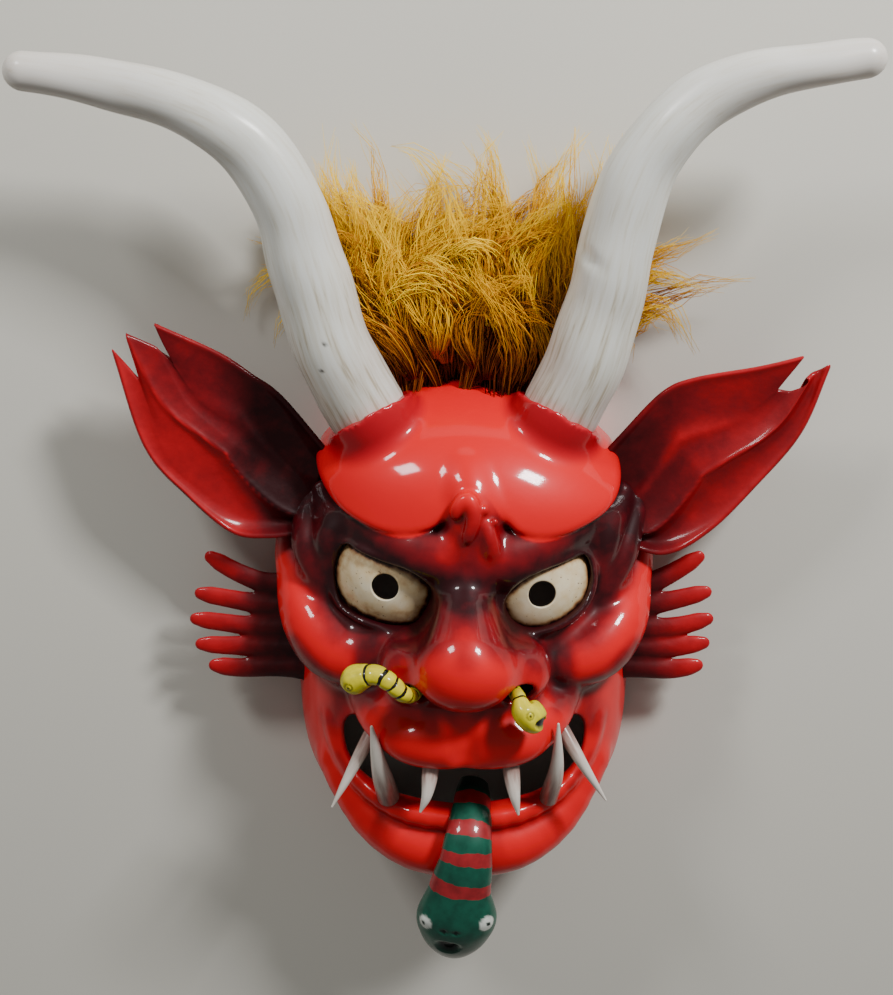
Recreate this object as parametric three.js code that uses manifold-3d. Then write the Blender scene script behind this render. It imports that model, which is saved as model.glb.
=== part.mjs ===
// A diablada dance mask of layered papier-mache, lying face up on its rim.
// Millimetres. X runs across the face, Y from chin to forehead, Z out of the face.
// The face is shaped as a modeller builds it up: balls and rolls of clay, smoothed together.
import * as THREE from "three";
import { mergeVertices } from "three/addons/utils/BufferGeometryUtils.js";
import Module from "manifold-3d";

const wasm = await Module();
wasm.setup();

// The place of the face's midline and brow-to-chin zero line in the whole mask's box
const MIDLINE_X = 13.5;
const MIDLINE_Y = -60.9;

// Walls and clearances
const WALL = 6;
const GAP = 0.3;
const HORN_SIDES = 12;
const EAR_WALL = 5;
const EYE_WALL = 4;

// Facets: columns round the brow half and the chin half, and rings from the nose to the rim
const FACE_FACETS = { brow: 34, chin: 20, rings: 24 };
const HOLLOW_FACETS = { brow: 16, chin: 14, rings: 10 };
const FACE_CENTRE = [0, -25, 0];

// Eyes: ball caps with a round peep hole
const EYE_CENTRE = [46, 26, 62];
const EYE_RADIUS = 43;
const EYE_SIDES = 18;
const PEEP_ANGLE = 12.4;
const EYE_EDGE_ANGLE = 58;
const EYE_TURN_OUT = { left: 9.5, right: 7 };

// The modeller's hand: the right eye sits lower, and the frown a little right of the middle.
const RIGHT_DROP = 5;
const FROWN_DRIFT = 6;

// The mouth's outline, right half, from the middle of the upper lip round to the lower lip
const MOUTH_EDGE = [
  [0, -94], [28, -94], [44, -91], [55, -87], [64, -81], [71, -76], [78, -76],
  [83, -84], [83, -98], [79, -111], [68, -123], [45, -133], [0, -138],
];
const MOUTH_BACK = 40;

const colours = {
  face: { color: 0xd42a22, roughness: 0.25 },
  eye: { color: 0xe1d3c8, roughness: 0.6 },
  horn: { color: 0xcfccc2, roughness: 0.4 },
  ear: { color: 0x7a1f23, roughness: 0.4 },
  fin: { color: 0x8a2a34, roughness: 0.4 },
  hair: { color: 0xc98a18, roughness: 0.8 },
  yellow: { color: 0xe6dc3c, roughness: 0.3 },
  green: { color: 0x0f5a46, roughness: 0.3 },
  fang: { color: 0xd8cfc4, roughness: 0.35 },
};

// Clay forms. Each gives the distance from a point to its surface, less than 0 inside.

function smoothMin(a, b, blend) {
  const reach = Math.max(blend - Math.abs(a - b), 0) / blend;
  return Math.min(a, b) - (reach * reach * blend) / 4;
}

function ball(centre, radii) {
  return (x, y, z) => {
    const dx = (x - centre[0]) / radii[0];
    const dy = (y - centre[1]) / radii[1];
    const dz = (z - centre[2]) / radii[2];
    const far = Math.hypot(dx, dy, dz);
    const slope = Math.hypot(dx / radii[0], dy / radii[1], dz / radii[2]) + 1e-9;
    return (far * (far - 1)) / slope;
  };
}

// A roll of clay through points (x, y, z, radius), on a smooth line between them.
function roll(...points) {
  const line = smoothLine(points, 3);
  return (x, y, z) => {
    let nearest = Infinity;
    for (let i = 1; i < line.length; i++) {
      const [ax, ay, az, ar] = line[i - 1];
      const [bx, by, bz, br] = line[i];
      const ux = bx - ax;
      const uy = by - ay;
      const uz = bz - az;
      const along = ((x - ax) * ux + (y - ay) * uy + (z - az) * uz) / (ux * ux + uy * uy + uz * uz);
      const t = THREE.MathUtils.clamp(along, 0, 1);
      const off = Math.hypot(x - ax - t * ux, y - ay - t * uy, z - az - t * uz);
      const distance = off - (ar + t * (br - ar));
      nearest = nearest === Infinity ? distance : smoothMin(nearest, distance, 6);
    }
    return nearest;
  };
}

// Points between the given ones on a Catmull-Rom line, in any number of dimensions.
function smoothLine(points, steps) {
  if (points.length < 3) {
    return points;
  }
  const last = points.length - 1;
  const before = points[0].map((v, i) => 2 * v - points[1][i]);
  const after = points[last].map((v, i) => 2 * v - points[last - 1][i]);
  const all = [before, ...points, after];
  const line = [];
  for (let i = 0; i < last; i++) {
    const [a, b, c, d] = all.slice(i, i + 4);
    for (let k = 0; k < steps; k++) {
      line.push(b.map((_, j) => catmullRom(k / steps, a[j], b[j], c[j], d[j])));
    }
  }
  line.push(points[last]);
  return line;
}

function catmullRom(t, a, b, c, d) {
  const square = (2 * a - 5 * b + 4 * c - d) * t * t;
  const cube = (3 * b - a - 3 * c + d) * t * t * t;
  return 0.5 * (2 * b + (c - a) * t + square + cube);
}

// The head's masses, then what is built up on them, each with how far it blends.
const headForms = [
  [ball([0, 34, 0], [108, 108, 104]), 1],
  [ball([0, -6, 0], [123, 108, 98]), 36],
  [ball([0, -98, 4], [117, 104, 98]), 44],
];

const noseForms = [
  [roll([0, 36, 98, 15], [0, 14, 116, 19], [0, -12, 132, 30]), 12],
  [ball([0, -19, 137], [35, 28, 30]), 12],
  [roll([14, 14, 100, 14], [26, -4, 110, 20], [34, -20, 114, 24]), 14],
];

const templeFolds = [
  [roll([88, 66, 56, 6], [98, 50, 58, 8], [98, 28, 62, 8], [86, 6, 76, 4]), 5],
  [roll([99, 72, 38, 8], [111, 50, 42, 8], [111, 26, 50, 8], [97, 2, 66, 4]), 5],
  [roll([104, 82, 16, 9], [117, 56, 22, 9], [120, 30, 30, 8]), 7],
];

const cheekAndBrow = [
  [roll([114, 36, 28, 9], [113, 12, 40, 13], [103, -8, 56, 19], [89, -26, 70, 22], [74, -32, 79, 19]), 8],
  [roll([92, 64, 52, 9], [74, 62, 70, 14], [50, 56, 88, 17], [28, 48, 97, 20], [0, 44, 98, 19]), 9],
];

const frown = [
  [roll([13, 88, 106, 5], [12, 74, 112, 6], [14, 58, 112, 8]), 6],
  [roll([0, 92, 108, 4], [0, 76, 114, 6], [0, 58, 112, 7]), 5],
];

const mouthForms = [
  [ball([0, -56, 90], [52, 34, 38]), 16],
  [roll([0, -78, 116, 19], [26, -76, 115, 19], [50, -70, 103, 16], [68, -60, 86, 9]), 10],
  [roll([0, -143, 102, 6], [36, -140, 97, 6], [64, -130, 82, 6], [84, -110, 66, 5], [93, -84, 58, 4]), 5],
  [roll([0, -168, 90, 21], [34, -164, 86, 20], [64, -150, 70, 17], [90, -120, 50, 12]), 10],
];

const lids = [
  [roll(
    [90, 48, 60, 4], [91, 28, 62, 4], [84, 6, 72, 4], [66, -10, 86, 4],
    [42, -13, 94, 4], [22, 0, 98, 4], [14, 18, 102, 4],
  ), 4],
];

// Forms on one side of the face. x has been folded about the midline.
function together(forms, x, y, z, start = Infinity) {
  let surface = start;
  for (const [form, blend] of forms) {
    const distance = form(x, y, z);
    surface = surface === Infinity ? distance : smoothMin(surface, distance, blend);
  }
  return surface;
}

// The forehead's raised shield: a dome seen through two lobes, with a groove inside its rim.
const shieldDome = ball([0, 38, 0], [138, 112, 128]);
const lowLobe = ball([60, 98, 0], [44, 40, 1e4]);
const topLobe = ball([0, 130, 0], [80, 40, 1e4]);

function shield(x, y, z) {
  const region = smoothMin(lowLobe(x, y, 0), topLobe(x, y, 0), 12);
  const groove = 3 * Math.exp(-(((region + 9) / 5) ** 2));
  return -smoothMin(-(shieldDome(x, y, z) + groove), -region, 6);
}

// A place on the real, slightly uneven face brought to its half of the even one.
function evened(x, y) {
  const share = THREE.MathUtils.smoothstep(x, 0, 40);
  const drop = RIGHT_DROP * share * Math.exp(-(((y - 25) / 45) ** 2));
  const drift = FROWN_DRIFT * Math.exp(-(((y - 75) / 24) ** 2));
  return [Math.abs(x - drift), y + drop];
}

function faceSurface(x, y, z) {
  const [side, level] = evened(x, y);
  let surface = together([...headForms, ...templeFolds, ...cheekAndBrow], side, level, z);
  surface = smoothMin(surface, shield(side, level, z), 4);
  return together([...frown, ...noseForms, ...mouthForms, ...lids], side, level, z, surface);
}

// The inside follows the head, the shield and the nose, and keeps clear of the outside.
function hollowSurface(x, y, z) {
  const side = Math.abs(x);
  const head = smoothMin(together(headForms, side, y, z), shield(side, y, z), 24);
  const inside = together(noseForms, side, y, z, head) + WALL;
  return Math.max(inside, faceSurface(x, y, z) + 0.8 * WALL);
}

// Solids

function solidOf(geometry) {
  const bare = geometry.clone();
  bare.deleteAttribute("normal");
  bare.deleteAttribute("uv");
  const merged = mergeVertices(bare, 1e-4);
  const vertProperties = Float32Array.from(merged.attributes.position.array);
  const triVerts = Uint32Array.from(merged.index.array);
  return new wasm.Manifold(new wasm.Mesh({ numProp: 3, vertProperties, triVerts }));
}

function geometryOf(solid) {
  const mesh = solid.getMesh();
  const geometry = new THREE.BufferGeometry();
  geometry.setAttribute("position", new THREE.BufferAttribute(mesh.vertProperties, 3));
  geometry.setIndex(new THREE.BufferAttribute(mesh.triVerts, 1));
  return geometry;
}

// How far a surface lies from the face's centre in one direction.
function reach(surface, direction, level) {
  let far = 230;
  for (let step = 0; step < 60; step++) {
    const p = direction.map((d, i) => FACE_CENTRE[i] + d * far);
    const distance = surface(...p) - level;
    far -= 0.7 * distance;
    if (Math.abs(distance) < 0.01) {
      break;
    }
  }
  return far;
}

// A dome pushed out to a surface, from the pole at the nose to the rim at Z = 0, and closed
// flat at the back. A back deeper than 0 carries the rim straight down first.
function dome(surface, level, { brow, chin, rings }, back = 0) {
  const segments = brow + chin;
  const extra = back > 0 ? 2 : 1;
  const geometry = new THREE.SphereGeometry(1, segments, rings + extra);
  const position = geometry.attributes.position;
  const far = new Map();
  for (let i = 0; i < position.count; i++) {
    const row = Math.floor(i / (segments + 1));
    const column = (i % (segments + 1)) % segments;
    const ring = Math.min(row, rings);
    const share = ring / rings;
    const polar = (0.85 * share + 0.15 * share ** 3) * (Math.PI / 2);
    const round = column < brow ? (column / brow) * Math.PI : (1 + (column - brow) / chin) * Math.PI;
    const direction = [Math.sin(polar) * Math.cos(round), Math.sin(polar) * Math.sin(round), Math.cos(polar)];
    const key = ring === 0 ? "pole" : ring * segments + column;
    if (!far.has(key)) {
      far.set(key, reach(surface, direction, level));
    }
    const isBackPole = row === rings + extra;
    const distance = isBackPole ? 0 : far.get(key);
    const z = row > rings ? -back : direction[2] * distance;
    position.setXYZ(i, FACE_CENTRE[0] + direction[0] * distance, FACE_CENTRE[1] + direction[1] * distance, z);
  }
  return geometry;
}

// A body round a curve. radii holds [share of the length, radius]; flat squashes it along the
// direction that up gives.
function along(points, radii, sides, { up = [0, 0, 1], flat = 1, grow = 0 } = {}) {
  const curve = new THREE.CatmullRomCurve3(points.map((p) => new THREE.Vector3(...p)));
  const profile = [new THREE.Vector2(0, radii[0][0])];
  for (const [share, radius] of radii) {
    profile.push(new THREE.Vector2(radius + grow, share));
  }
  profile.push(new THREE.Vector2(0, radii[radii.length - 1][0]));
  const geometry = new THREE.LatheGeometry(profile, sides);
  const position = geometry.attributes.position;
  const upward = new THREE.Vector3(...up);
  for (let i = 0; i < position.count; i++) {
    const share = THREE.MathUtils.clamp(position.getY(i), 0, 1);
    const tangent = curve.getTangentAt(share);
    const across = new THREE.Vector3().crossVectors(upward, tangent).normalize();
    const over = new THREE.Vector3().crossVectors(across, tangent).normalize();
    const p = curve.getPointAt(share);
    p.addScaledVector(across, position.getX(i));
    p.addScaledVector(over, position.getZ(i) * flat);
    position.setXYZ(i, p.x, p.y, p.z);
  }
  return solidOf(geometry);
}

function mirrored(points) {
  return points.map(([x, ...rest]) => [-x, ...rest]);
}

// The mouth opening as a straight cut through the front, smaller by inset all round.
function mouthCut(inset) {
  const right = smoothLine(MOUTH_EDGE, 2);
  const left = mirrored(right.slice(1, -1)).reverse();
  const edge = [...right, ...left];
  const middle = [0, -115];
  const outline = edge.map(([x, y]) => {
    const far = Math.hypot(x - middle[0], y - middle[1]);
    const share = (far - inset) / far;
    return new THREE.Vector2(middle[0] + (x - middle[0]) * share, middle[1] + (y - middle[1]) * share);
  });
  const depth = 200;
  const geometry = new THREE.ExtrudeGeometry(new THREE.Shape(outline), { depth, bevelEnabled: false });
  geometry.translate(0, 0, MOUTH_BACK);
  return solidOf(geometry);
}

// A ball or a ball's cap round the eye's own axis, with the same facets for both, so that one
// nests in the other.
function eyeTurned(profile, side) {
  const geometry = new THREE.LatheGeometry(profile, EYE_SIDES);
  const turn = side < 0 ? EYE_TURN_OUT.left : EYE_TURN_OUT.right;
  const drop = side < 0 ? 0 : RIGHT_DROP;
  geometry.rotateX(Math.PI / 2);
  geometry.rotateY(THREE.MathUtils.degToRad(turn * side));
  geometry.translate(EYE_CENTRE[0] * side, EYE_CENTRE[1] - drop, EYE_CENTRE[2]);
  return solidOf(geometry);
}

function arc(radius, from, to, steps) {
  const points = [];
  for (let i = 0; i <= steps; i++) {
    const angle = THREE.MathUtils.degToRad(THREE.MathUtils.lerp(from, to, i / steps));
    points.push(new THREE.Vector2(radius * Math.sin(angle), radius * Math.cos(angle)));
  }
  return points;
}

function eyeSocket(side) {
  const ring = arc(EYE_RADIUS + GAP, EYE_EDGE_ANGLE, PEEP_ANGLE, 3);
  const tip = new THREE.Vector2(0, EYE_RADIUS + GAP);
  const back = new THREE.Vector2(0, 0);
  return eyeTurned([back, ...ring, tip], side);
}

function eyeCap(side) {
  const outer = arc(EYE_RADIUS, EYE_EDGE_ANGLE, PEEP_ANGLE, 3);
  const inner = arc(EYE_RADIUS - EYE_WALL, PEEP_ANGLE, EYE_EDGE_ANGLE, 3);
  return eyeTurned([...outer, ...inner, outer[0]], side);
}

// Nose snakes: points from inside the nostril to the head
const leftSnake = {
  points: [
    [-29, -32, 112], [-33, -36, 136], [-40, -31, 151], [-49, -21, 155],
    [-58, -17, 152], [-68, -21, 147], [-78, -29, 141],
  ],
  radii: [
    [0, 4], [0.3, 4.2], [0.45, 5.4], [0.6, 6], [0.72, 6.4], [0.8, 8], [0.88, 10.5], [0.95, 9], [1, 4],
  ],
  up: [0, 1, 0.2],
};
const rightSnake = {
  points: [[29, -33, 112], [33, -37, 136], [38, -43, 148], [46, -51, 148], [55, -57, 143]],
  radii: [[0, 4.5], [0.45, 5], [0.6, 7], [0.74, 10], [0.88, 9], [1, 4]],
  up: [1, 0, 0],
};
const SNAKE_SIDES = 10;
const SNAKE_FLAT = 0.8;

function noseSnake({ points, radii, up }, grow = 0) {
  return along(points, radii, SNAKE_SIDES, { up, flat: SNAKE_FLAT, grow });
}

// The nostril's flared dish, in front of the snake's own hole
const NOSTRIL = { centre: [35, -39, 138], radii: [12, 8, 22], tilt: 22 };

function nostrilDish(side) {
  const geometry = new THREE.SphereGeometry(1, 12, 8);
  const [x, y, z] = NOSTRIL.centre;
  geometry.scale(...NOSTRIL.radii);
  geometry.rotateZ(THREE.MathUtils.degToRad(NOSTRIL.tilt * side));
  geometry.translate(x * side, y, z);
  return solidOf(geometry);
}

function faceShell() {
  let shell = withCollars(solidOf(dome(faceSurface, 0, FACE_FACETS)), 0);
  shell = shell.subtract(solidOf(dome(hollowSurface, 0, HOLLOW_FACETS, 10)));
  shell = shell.subtract(mouthCut(0));
  for (const side of [-1, 1]) {
    shell = shell.subtract(eyeSocket(side)).subtract(nostrilDish(side));
  }
  return shell.subtract(noseSnake(leftSnake, GAP)).subtract(noseSnake(rightSnake, GAP));
}

// The skin that rises round the foot of each horn
const hornCollar = [[46, 92, 38], [56, 112, 50], [65, 131, 57]];
const collarRadii = [[0, 26], [0.4, 29.5], [0.9, 30], [1, 28.5]];

function withCollars(solid, grow) {
  const options = { grow };
  const left = along(mirrored(hornCollar), collarRadii, HORN_SIDES, options);
  return solid.add(left).add(along(hornCollar, collarRadii, HORN_SIDES, options));
}

// What the pieces set on the face are trimmed by: its outside, grown by the gap, with the
// mouth open.
const faceFilled = withCollars(solidOf(dome(faceSurface, GAP, FACE_FACETS)), GAP);
const faceTrim = faceFilled.subtract(mouthCut(GAP));

// Horns: axis from inside the forehead to the tip
const hornRadii = [
  [0, 28], [0.12, 27.5], [0.24, 26.5], [0.36, 25.5], [0.46, 24], [0.56, 22.5],
  [0.66, 19.5], [0.76, 17], [0.86, 14.5], [0.94, 13], [0.98, 10.5], [0.995, 6],
];
const leftHorn = [
  [-50, 98, 30], [-69, 139, 57], [-87, 178, 66], [-101, 229, 71], [-112, 269, 76],
  [-129, 302, 81], [-157, 327, 86], [-198, 343, 90], [-250, 354, 95], [-286, 358, 98],
];
const rightHorn = [
  [49, 94, 30], [66, 134, 57], [79, 167, 66], [90, 207, 70], [96, 242, 75], [103, 274, 79],
  [117, 306, 83], [138, 331, 87], [167, 349, 92], [212, 360, 96], [259, 366, 98],
];

// Fangs: base, then tip
const FANG_SIDES = 7;
const fangShape = [[0, 1], [0.35, 0.86], [0.7, 0.52], [0.97, 0.12]];
const fangs = {
  fang_upper_outer_left: { points: [[-60, -72, 100], [-76, -100, 114], [-90, -126, 118]], radius: 5 },
  fang_upper_outer_right: { points: [[62, -68, 100], [79, -95, 114], [96, -122, 116]], radius: 5 },
  fang_upper_inner_left: { points: [[-22, -88, 120], [-25, -110, 129], [-30, -124, 130]], radius: 6 },
  fang_upper_inner_right: { points: [[30, -88, 120], [33, -110, 129], [36, -126, 130]], radius: 6 },
  fang_lower_left: { points: [[-52, -130, 94], [-57, -98, 116], [-62, -63, 126]], radius: 7.7 },
  fang_lower_right: { points: [[58, -131, 94], [62, -98, 115], [62, -62, 124]], radius: 6.4 },
};

function fang({ points, radius }) {
  const radii = fangShape.map(([share, part]) => [share, part * radius]);
  return along(points, radii, FANG_SIDES).subtract(faceTrim);
}

// The tongue snake rests on the lower lip and hangs over the chin.
const tongue = {
  points: [
    [8, -124, 74], [7, -128, 94], [6, -136, 112], [4, -149, 122], [2, -166, 122],
    [-1, -186, 116], [-3, -207, 108], [-5, -229, 98], [-6, -251, 85],
  ],
  radii: [
    [0, 11], [0.15, 14], [0.35, 15.5], [0.5, 17.5], [0.62, 21],
    [0.71, 26], [0.78, 29], [0.87, 29], [0.95, 21], [1, 9],
  ],
};
const TONGUE_SIDES = 12;
const TONGUE_FLAT = 0.72;

function tongueSnake() {
  return along(tongue.points, tongue.radii, TONGUE_SIDES, { flat: TONGUE_FLAT }).subtract(faceTrim);
}

// Ears: a dished leaf between its upper edge, lower edge and torn tips, with a rib
const EAR_ALONG = 7;
const EAR_ACROSS = 12;
const EAR_HEIGHT = 46;
const EAR_RISE = 14;
const EAR_DISH = 16;
const EAR_RIB = 8;
const earShapes = {
  left: {
    upper: [[-94, 104], [-125, 144], [-144, 159], [-162, 172], [-185, 184], [-206, 194]],
    lower: [[-108, 50], [-136, 47], [-160, 51], [-189, 77], [-216, 112], [-234, 179]],
    tips: [[-234, 179], [-218, 156], [-226, 189], [-205, 178], [-195, 166], [-201, 180], [-206, 194]],
  },
  right: {
    upper: [[94, 100], [108, 118], [133, 146], [154, 156], [196, 164], [226, 172]],
    lower: [[108, 44], [138, 35], [168, 51], [198, 83], [226, 121], [242, 168]],
    tips: [[242, 168], [234, 160], [226, 152], [218, 148], [210, 148], [218, 160], [226, 172]],
  },
};

function earPoint(shape, u, v) {
  const upper = pointOn(shape.upper, u);
  const lower = pointOn(shape.lower, u);
  const tip = pointOn(shape.tips, v);
  return [0, 1].map((i) => {
    const base = THREE.MathUtils.lerp(shape.lower[0][i], shape.upper[0][i], v);
    const end = THREE.MathUtils.lerp(shape.tips[0][i], shape.tips[6][i], v);
    const sides = THREE.MathUtils.lerp(lower[i], upper[i], v);
    const corners = THREE.MathUtils.lerp(base, end, u);
    return sides + THREE.MathUtils.lerp(base, tip[i], u) - corners;
  });
}

// The point a given share of the way through a list, on straight lines between its points.
function pointOn(points, share) {
  const place = THREE.MathUtils.clamp(share, 0, 1) * (points.length - 1);
  const i = Math.min(Math.floor(place), points.length - 2);
  return points[i].map((value, j) => THREE.MathUtils.lerp(value, points[i + 1][j], place - i));
}

// The middle of the leaf's wall, shallower towards the tip
function earHeight(u, v) {
  const dish = EAR_DISH * Math.sin(Math.PI * v) * (1 - 0.6 * u);
  const rib = EAR_RIB * Math.exp(-(((v - 0.5) / 0.1) ** 2)) * (1 - 0.5 * u);
  return EAR_HEIGHT + EAR_RISE * u - dish + rib;
}

function ear(shape, side) {
  const geometry = new THREE.BoxGeometry(1, 1, 1, EAR_ALONG, EAR_ACROSS, 1);
  const position = geometry.attributes.position;
  for (let i = 0; i < position.count; i++) {
    const u = side > 0 ? position.getX(i) + 0.5 : 0.5 - position.getX(i);
    const v = position.getY(i) + 0.5;
    const [x, y] = earPoint(shape, u, v);
    position.setXYZ(i, x, y, earHeight(u, v) + position.getZ(i) * EAR_WALL);
  }
  return solidOf(geometry).subtract(faceFilled);
}

// Cheek fins: webbed fingers, listed by the place of each tip
const FINGER_SIDES = 6;
const fingerTips = {
  left: [[-180, 28], [-189, -1], [-192, -20], [-190, -40], [-181, -54]],
  right: [[167, 26], [173, 0], [174, -20], [172, -39], [167, -57]],
};
const fingerRadii = [[0, 9], [0.5, 8], [0.85, 6.5], [0.99, 3]];
const FINGER_FLAT = 0.6;
const FINGER_PITCH = 14;
const FIN_ROOT = 104;
const FIN_HEIGHT = 30;
const WEB = { centre: [124, -26], size: [52, 66, 6] };

function cheekFin(tips, side) {
  const web = new THREE.BoxGeometry(...WEB.size);
  web.translate(WEB.centre[0] * side, WEB.centre[1], FIN_HEIGHT);
  let fin = solidOf(web);
  tips.forEach(([x, y], i) => {
    const root = [FIN_ROOT * side, -FINGER_PITCH * i];
    const middle = [THREE.MathUtils.lerp(root[0], x, 0.55), THREE.MathUtils.lerp(root[1], y, 0.35)];
    const line = [[...root, FIN_HEIGHT], [...middle, FIN_HEIGHT + 3], [x, y, FIN_HEIGHT + 6]];
    fin = fin.add(along(line, fingerRadii, FINGER_SIDES, { flat: FINGER_FLAT }));
  });
  return fin.subtract(faceFilled);
}

// Hair: fat locks from a line along the top of the head out to the ragged edge
const LOCK_SIDES = 5;
const hairRoots = [[-80, 92], [-50, 112], [0, 120], [50, 112], [82, 88]];
const hairTips = [
  [-154, 242], [-128, 270], [-92, 282], [-62, 294], [-14, 288], [16, 300], [44, 297],
  [82, 290], [120, 266], [160, 252], [158, 214], [146, 172],
];
const lockRadii = [[0, 14], [0.35, 15], [0.75, 9], [1, 1.5]];
const LOCK_FLAT = 0.8;
const hairLayers = [
  { count: 12, from: 0, to: 1, rootZ: 14, tipZ: 15 },
  { count: 5, from: 0.28, to: 0.64, rootZ: 27, tipZ: 38 },
];

// One lock, which sets out upward before it leans to its tip. length is its share of the full one.
function hairLock(share, length, rootZ, tipZ) {
  const root = pointOn(hairRoots, share);
  const end = pointOn(hairTips, share);
  const tip = root.map((value, i) => THREE.MathUtils.lerp(value, end[i], length));
  const middle = [THREE.MathUtils.lerp(root[0], tip[0], 0.4), THREE.MathUtils.lerp(root[1], tip[1], 0.55)];
  const line = [[...root, rootZ], [...middle, rootZ + 4], [...tip, tipZ]];
  return along(line, lockRadii, LOCK_SIDES, { flat: LOCK_FLAT });
}

function hairCrest(horns) {
  const locks = [];
  for (const { count, from, to, rootZ, tipZ } of hairLayers) {
    for (let i = 0; i < count; i++) {
      const share = THREE.MathUtils.lerp(from, to, i / (count - 1));
      const length = 1 - 0.06 * (1 + Math.sin(i * 2.4 + count));
      locks.push(hairLock(share, length, rootZ, tipZ));
    }
  }
  const crest = locks.reduce((all, lock) => all.add(lock)).subtract(faceFilled);
  return horns.reduce((rest, horn) => rest.subtract(horn), crest);
}

// Assembly

const mask = new THREE.Group();
mask.position.set(MIDLINE_X, MIDLINE_Y, 0);

function piece(name, solid, colour) {
  const material = new THREE.MeshStandardMaterial({ metalness: 0, ...colours[colour] });
  const mesh = new THREE.Mesh(geometryOf(solid), material);
  mesh.name = name;
  mask.add(mesh);
}

const hornsGrown = [leftHorn, rightHorn].map((axis) => along(axis, hornRadii, HORN_SIDES, { grow: GAP }));

piece("face_shell", faceShell(), "face");
piece("eye_left", eyeCap(-1), "eye");
piece("eye_right", eyeCap(1), "eye");
piece("horn_left", along(leftHorn, hornRadii, HORN_SIDES).subtract(faceFilled), "horn");
piece("horn_right", along(rightHorn, hornRadii, HORN_SIDES).subtract(faceFilled), "horn");
piece("ear_left", ear(earShapes.left, -1), "ear");
piece("ear_right", ear(earShapes.right, 1), "ear");
piece("cheek_fin_left", cheekFin(fingerTips.left, -1), "fin");
piece("cheek_fin_right", cheekFin(fingerTips.right, 1), "fin");
piece("hair_crest", hairCrest(hornsGrown), "hair");
piece("nose_snake_left", noseSnake(leftSnake), "yellow");
piece("nose_snake_right", noseSnake(rightSnake), "yellow");
piece("tongue_snake", tongueSnake(), "green");
for (const [name, shape] of Object.entries(fangs)) {
  piece(name, fang(shape), "fang");
}

export default mask;
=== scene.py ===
"""A diablada dance mask of layered papier-mache, lying face up on its rim.

Places are in millimetres on the mask itself: X across the face from its midline, Y from
chin to forehead, Z out of the face. The face is shaped as a modeller builds it up, from
balls and rolls of clay smoothed together, and painted in gloss enamel.
"""
import math

import bmesh
import bpy
import numpy as np
from mathutils import Matrix, Vector


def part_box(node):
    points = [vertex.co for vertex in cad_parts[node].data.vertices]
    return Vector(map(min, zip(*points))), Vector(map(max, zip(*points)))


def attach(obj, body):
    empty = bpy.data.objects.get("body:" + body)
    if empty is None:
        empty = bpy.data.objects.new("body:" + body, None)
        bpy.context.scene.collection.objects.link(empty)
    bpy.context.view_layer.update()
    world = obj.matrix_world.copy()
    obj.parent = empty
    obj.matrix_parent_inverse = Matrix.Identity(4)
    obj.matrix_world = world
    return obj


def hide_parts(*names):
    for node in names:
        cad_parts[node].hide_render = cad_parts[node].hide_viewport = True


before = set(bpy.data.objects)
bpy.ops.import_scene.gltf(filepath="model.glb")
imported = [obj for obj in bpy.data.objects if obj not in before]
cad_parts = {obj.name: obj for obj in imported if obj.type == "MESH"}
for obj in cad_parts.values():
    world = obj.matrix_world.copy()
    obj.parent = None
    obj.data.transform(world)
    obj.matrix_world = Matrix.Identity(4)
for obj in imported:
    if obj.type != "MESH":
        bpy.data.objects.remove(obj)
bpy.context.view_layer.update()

# The midline and the brow-to-chin zero line in the frame
MIDLINE = np.array([13.5, -60.9, 0.0])
FAR = 1000.0

# Walls, eyes and the modeller's hand
WALL = 6.0
EYE_CENTRE = np.array([46.0, 26.0, 62.0])
EYE_RADIUS = 43.0
EYE_WALL = 4.0
EYE_GAP = 0.3
PEEP_ANGLE = 12.4
PEEP_BEVEL = 2.2
EYE_EDGE_ANGLE = 62.0
EYE_TURN_OUT = {-1: 9.5, 1: 7.0}
EYE_STAIN = {-1: 0.5, 1: 0.3}

# How much lower the right half sits and how far the frown leans over, each round a height
RIGHT_DROP = 5.0
DROP_HEIGHT = 25
DROP_REACH = 45
FROWN_DRIFT = 6.0
DRIFT_HEIGHT = 75
DRIFT_REACH = 24
EYE_DROP = {-1: 0.0, 1: RIGHT_DROP}


def smoothstep(low, high, value):
    t = np.clip((value - low) / (high - low), 0, 1)
    return t * t * (3 - 2 * t)


def smooth_min(a, b, blend):
    if blend <= 0:
        return np.minimum(a, b)
    reach = np.maximum(blend - np.abs(a - b), 0) / blend
    return np.minimum(a, b) - reach * reach * blend / 4


def smooth_max(a, b, blend):
    return -smooth_min(-a, -b, blend)


def smooth_line(points, steps):
    """Points between the given ones on a Catmull-Rom line."""
    p = np.asarray(points, float)
    if len(p) < 3:
        return p
    ends = np.vstack([2 * p[0] - p[1], p, 2 * p[-1] - p[-2]])
    line = []
    for a, b, c, d in zip(ends, ends[1:], ends[2:], ends[3:]):
        for t in np.arange(steps) / steps:
            square = (2 * a - 5 * b + 4 * c - d) * t * t
            cube = (3 * b - a - 3 * c + d) * t ** 3
            line.append(0.5 * (2 * b + (c - a) * t + square + cube))
    line.append(p[-1])
    return np.array(line)


def smooth_ring(points, steps):
    """A closed line through points, as smooth_line draws an open one."""
    p = [list(point) for point in points]
    line = smooth_line(p[-2:] + p + p[:2], steps)
    return line[2 * steps:-steps - 1]


def on_line(points, share):
    """Places at shares of the way along points, each step counting the same."""
    line = np.asarray(points, float)
    at = np.linspace(0, 1, len(line))
    return np.stack([np.interp(share, at, line[:, i]) for i in range(line.shape[1])], -1)


def mirrored(half):
    """A closed outline from its right half, whose two ends lie on the midline."""
    half = np.asarray(half, float)
    return np.concatenate([half, half[-2:0:-1] * [-1, 1]])


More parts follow.
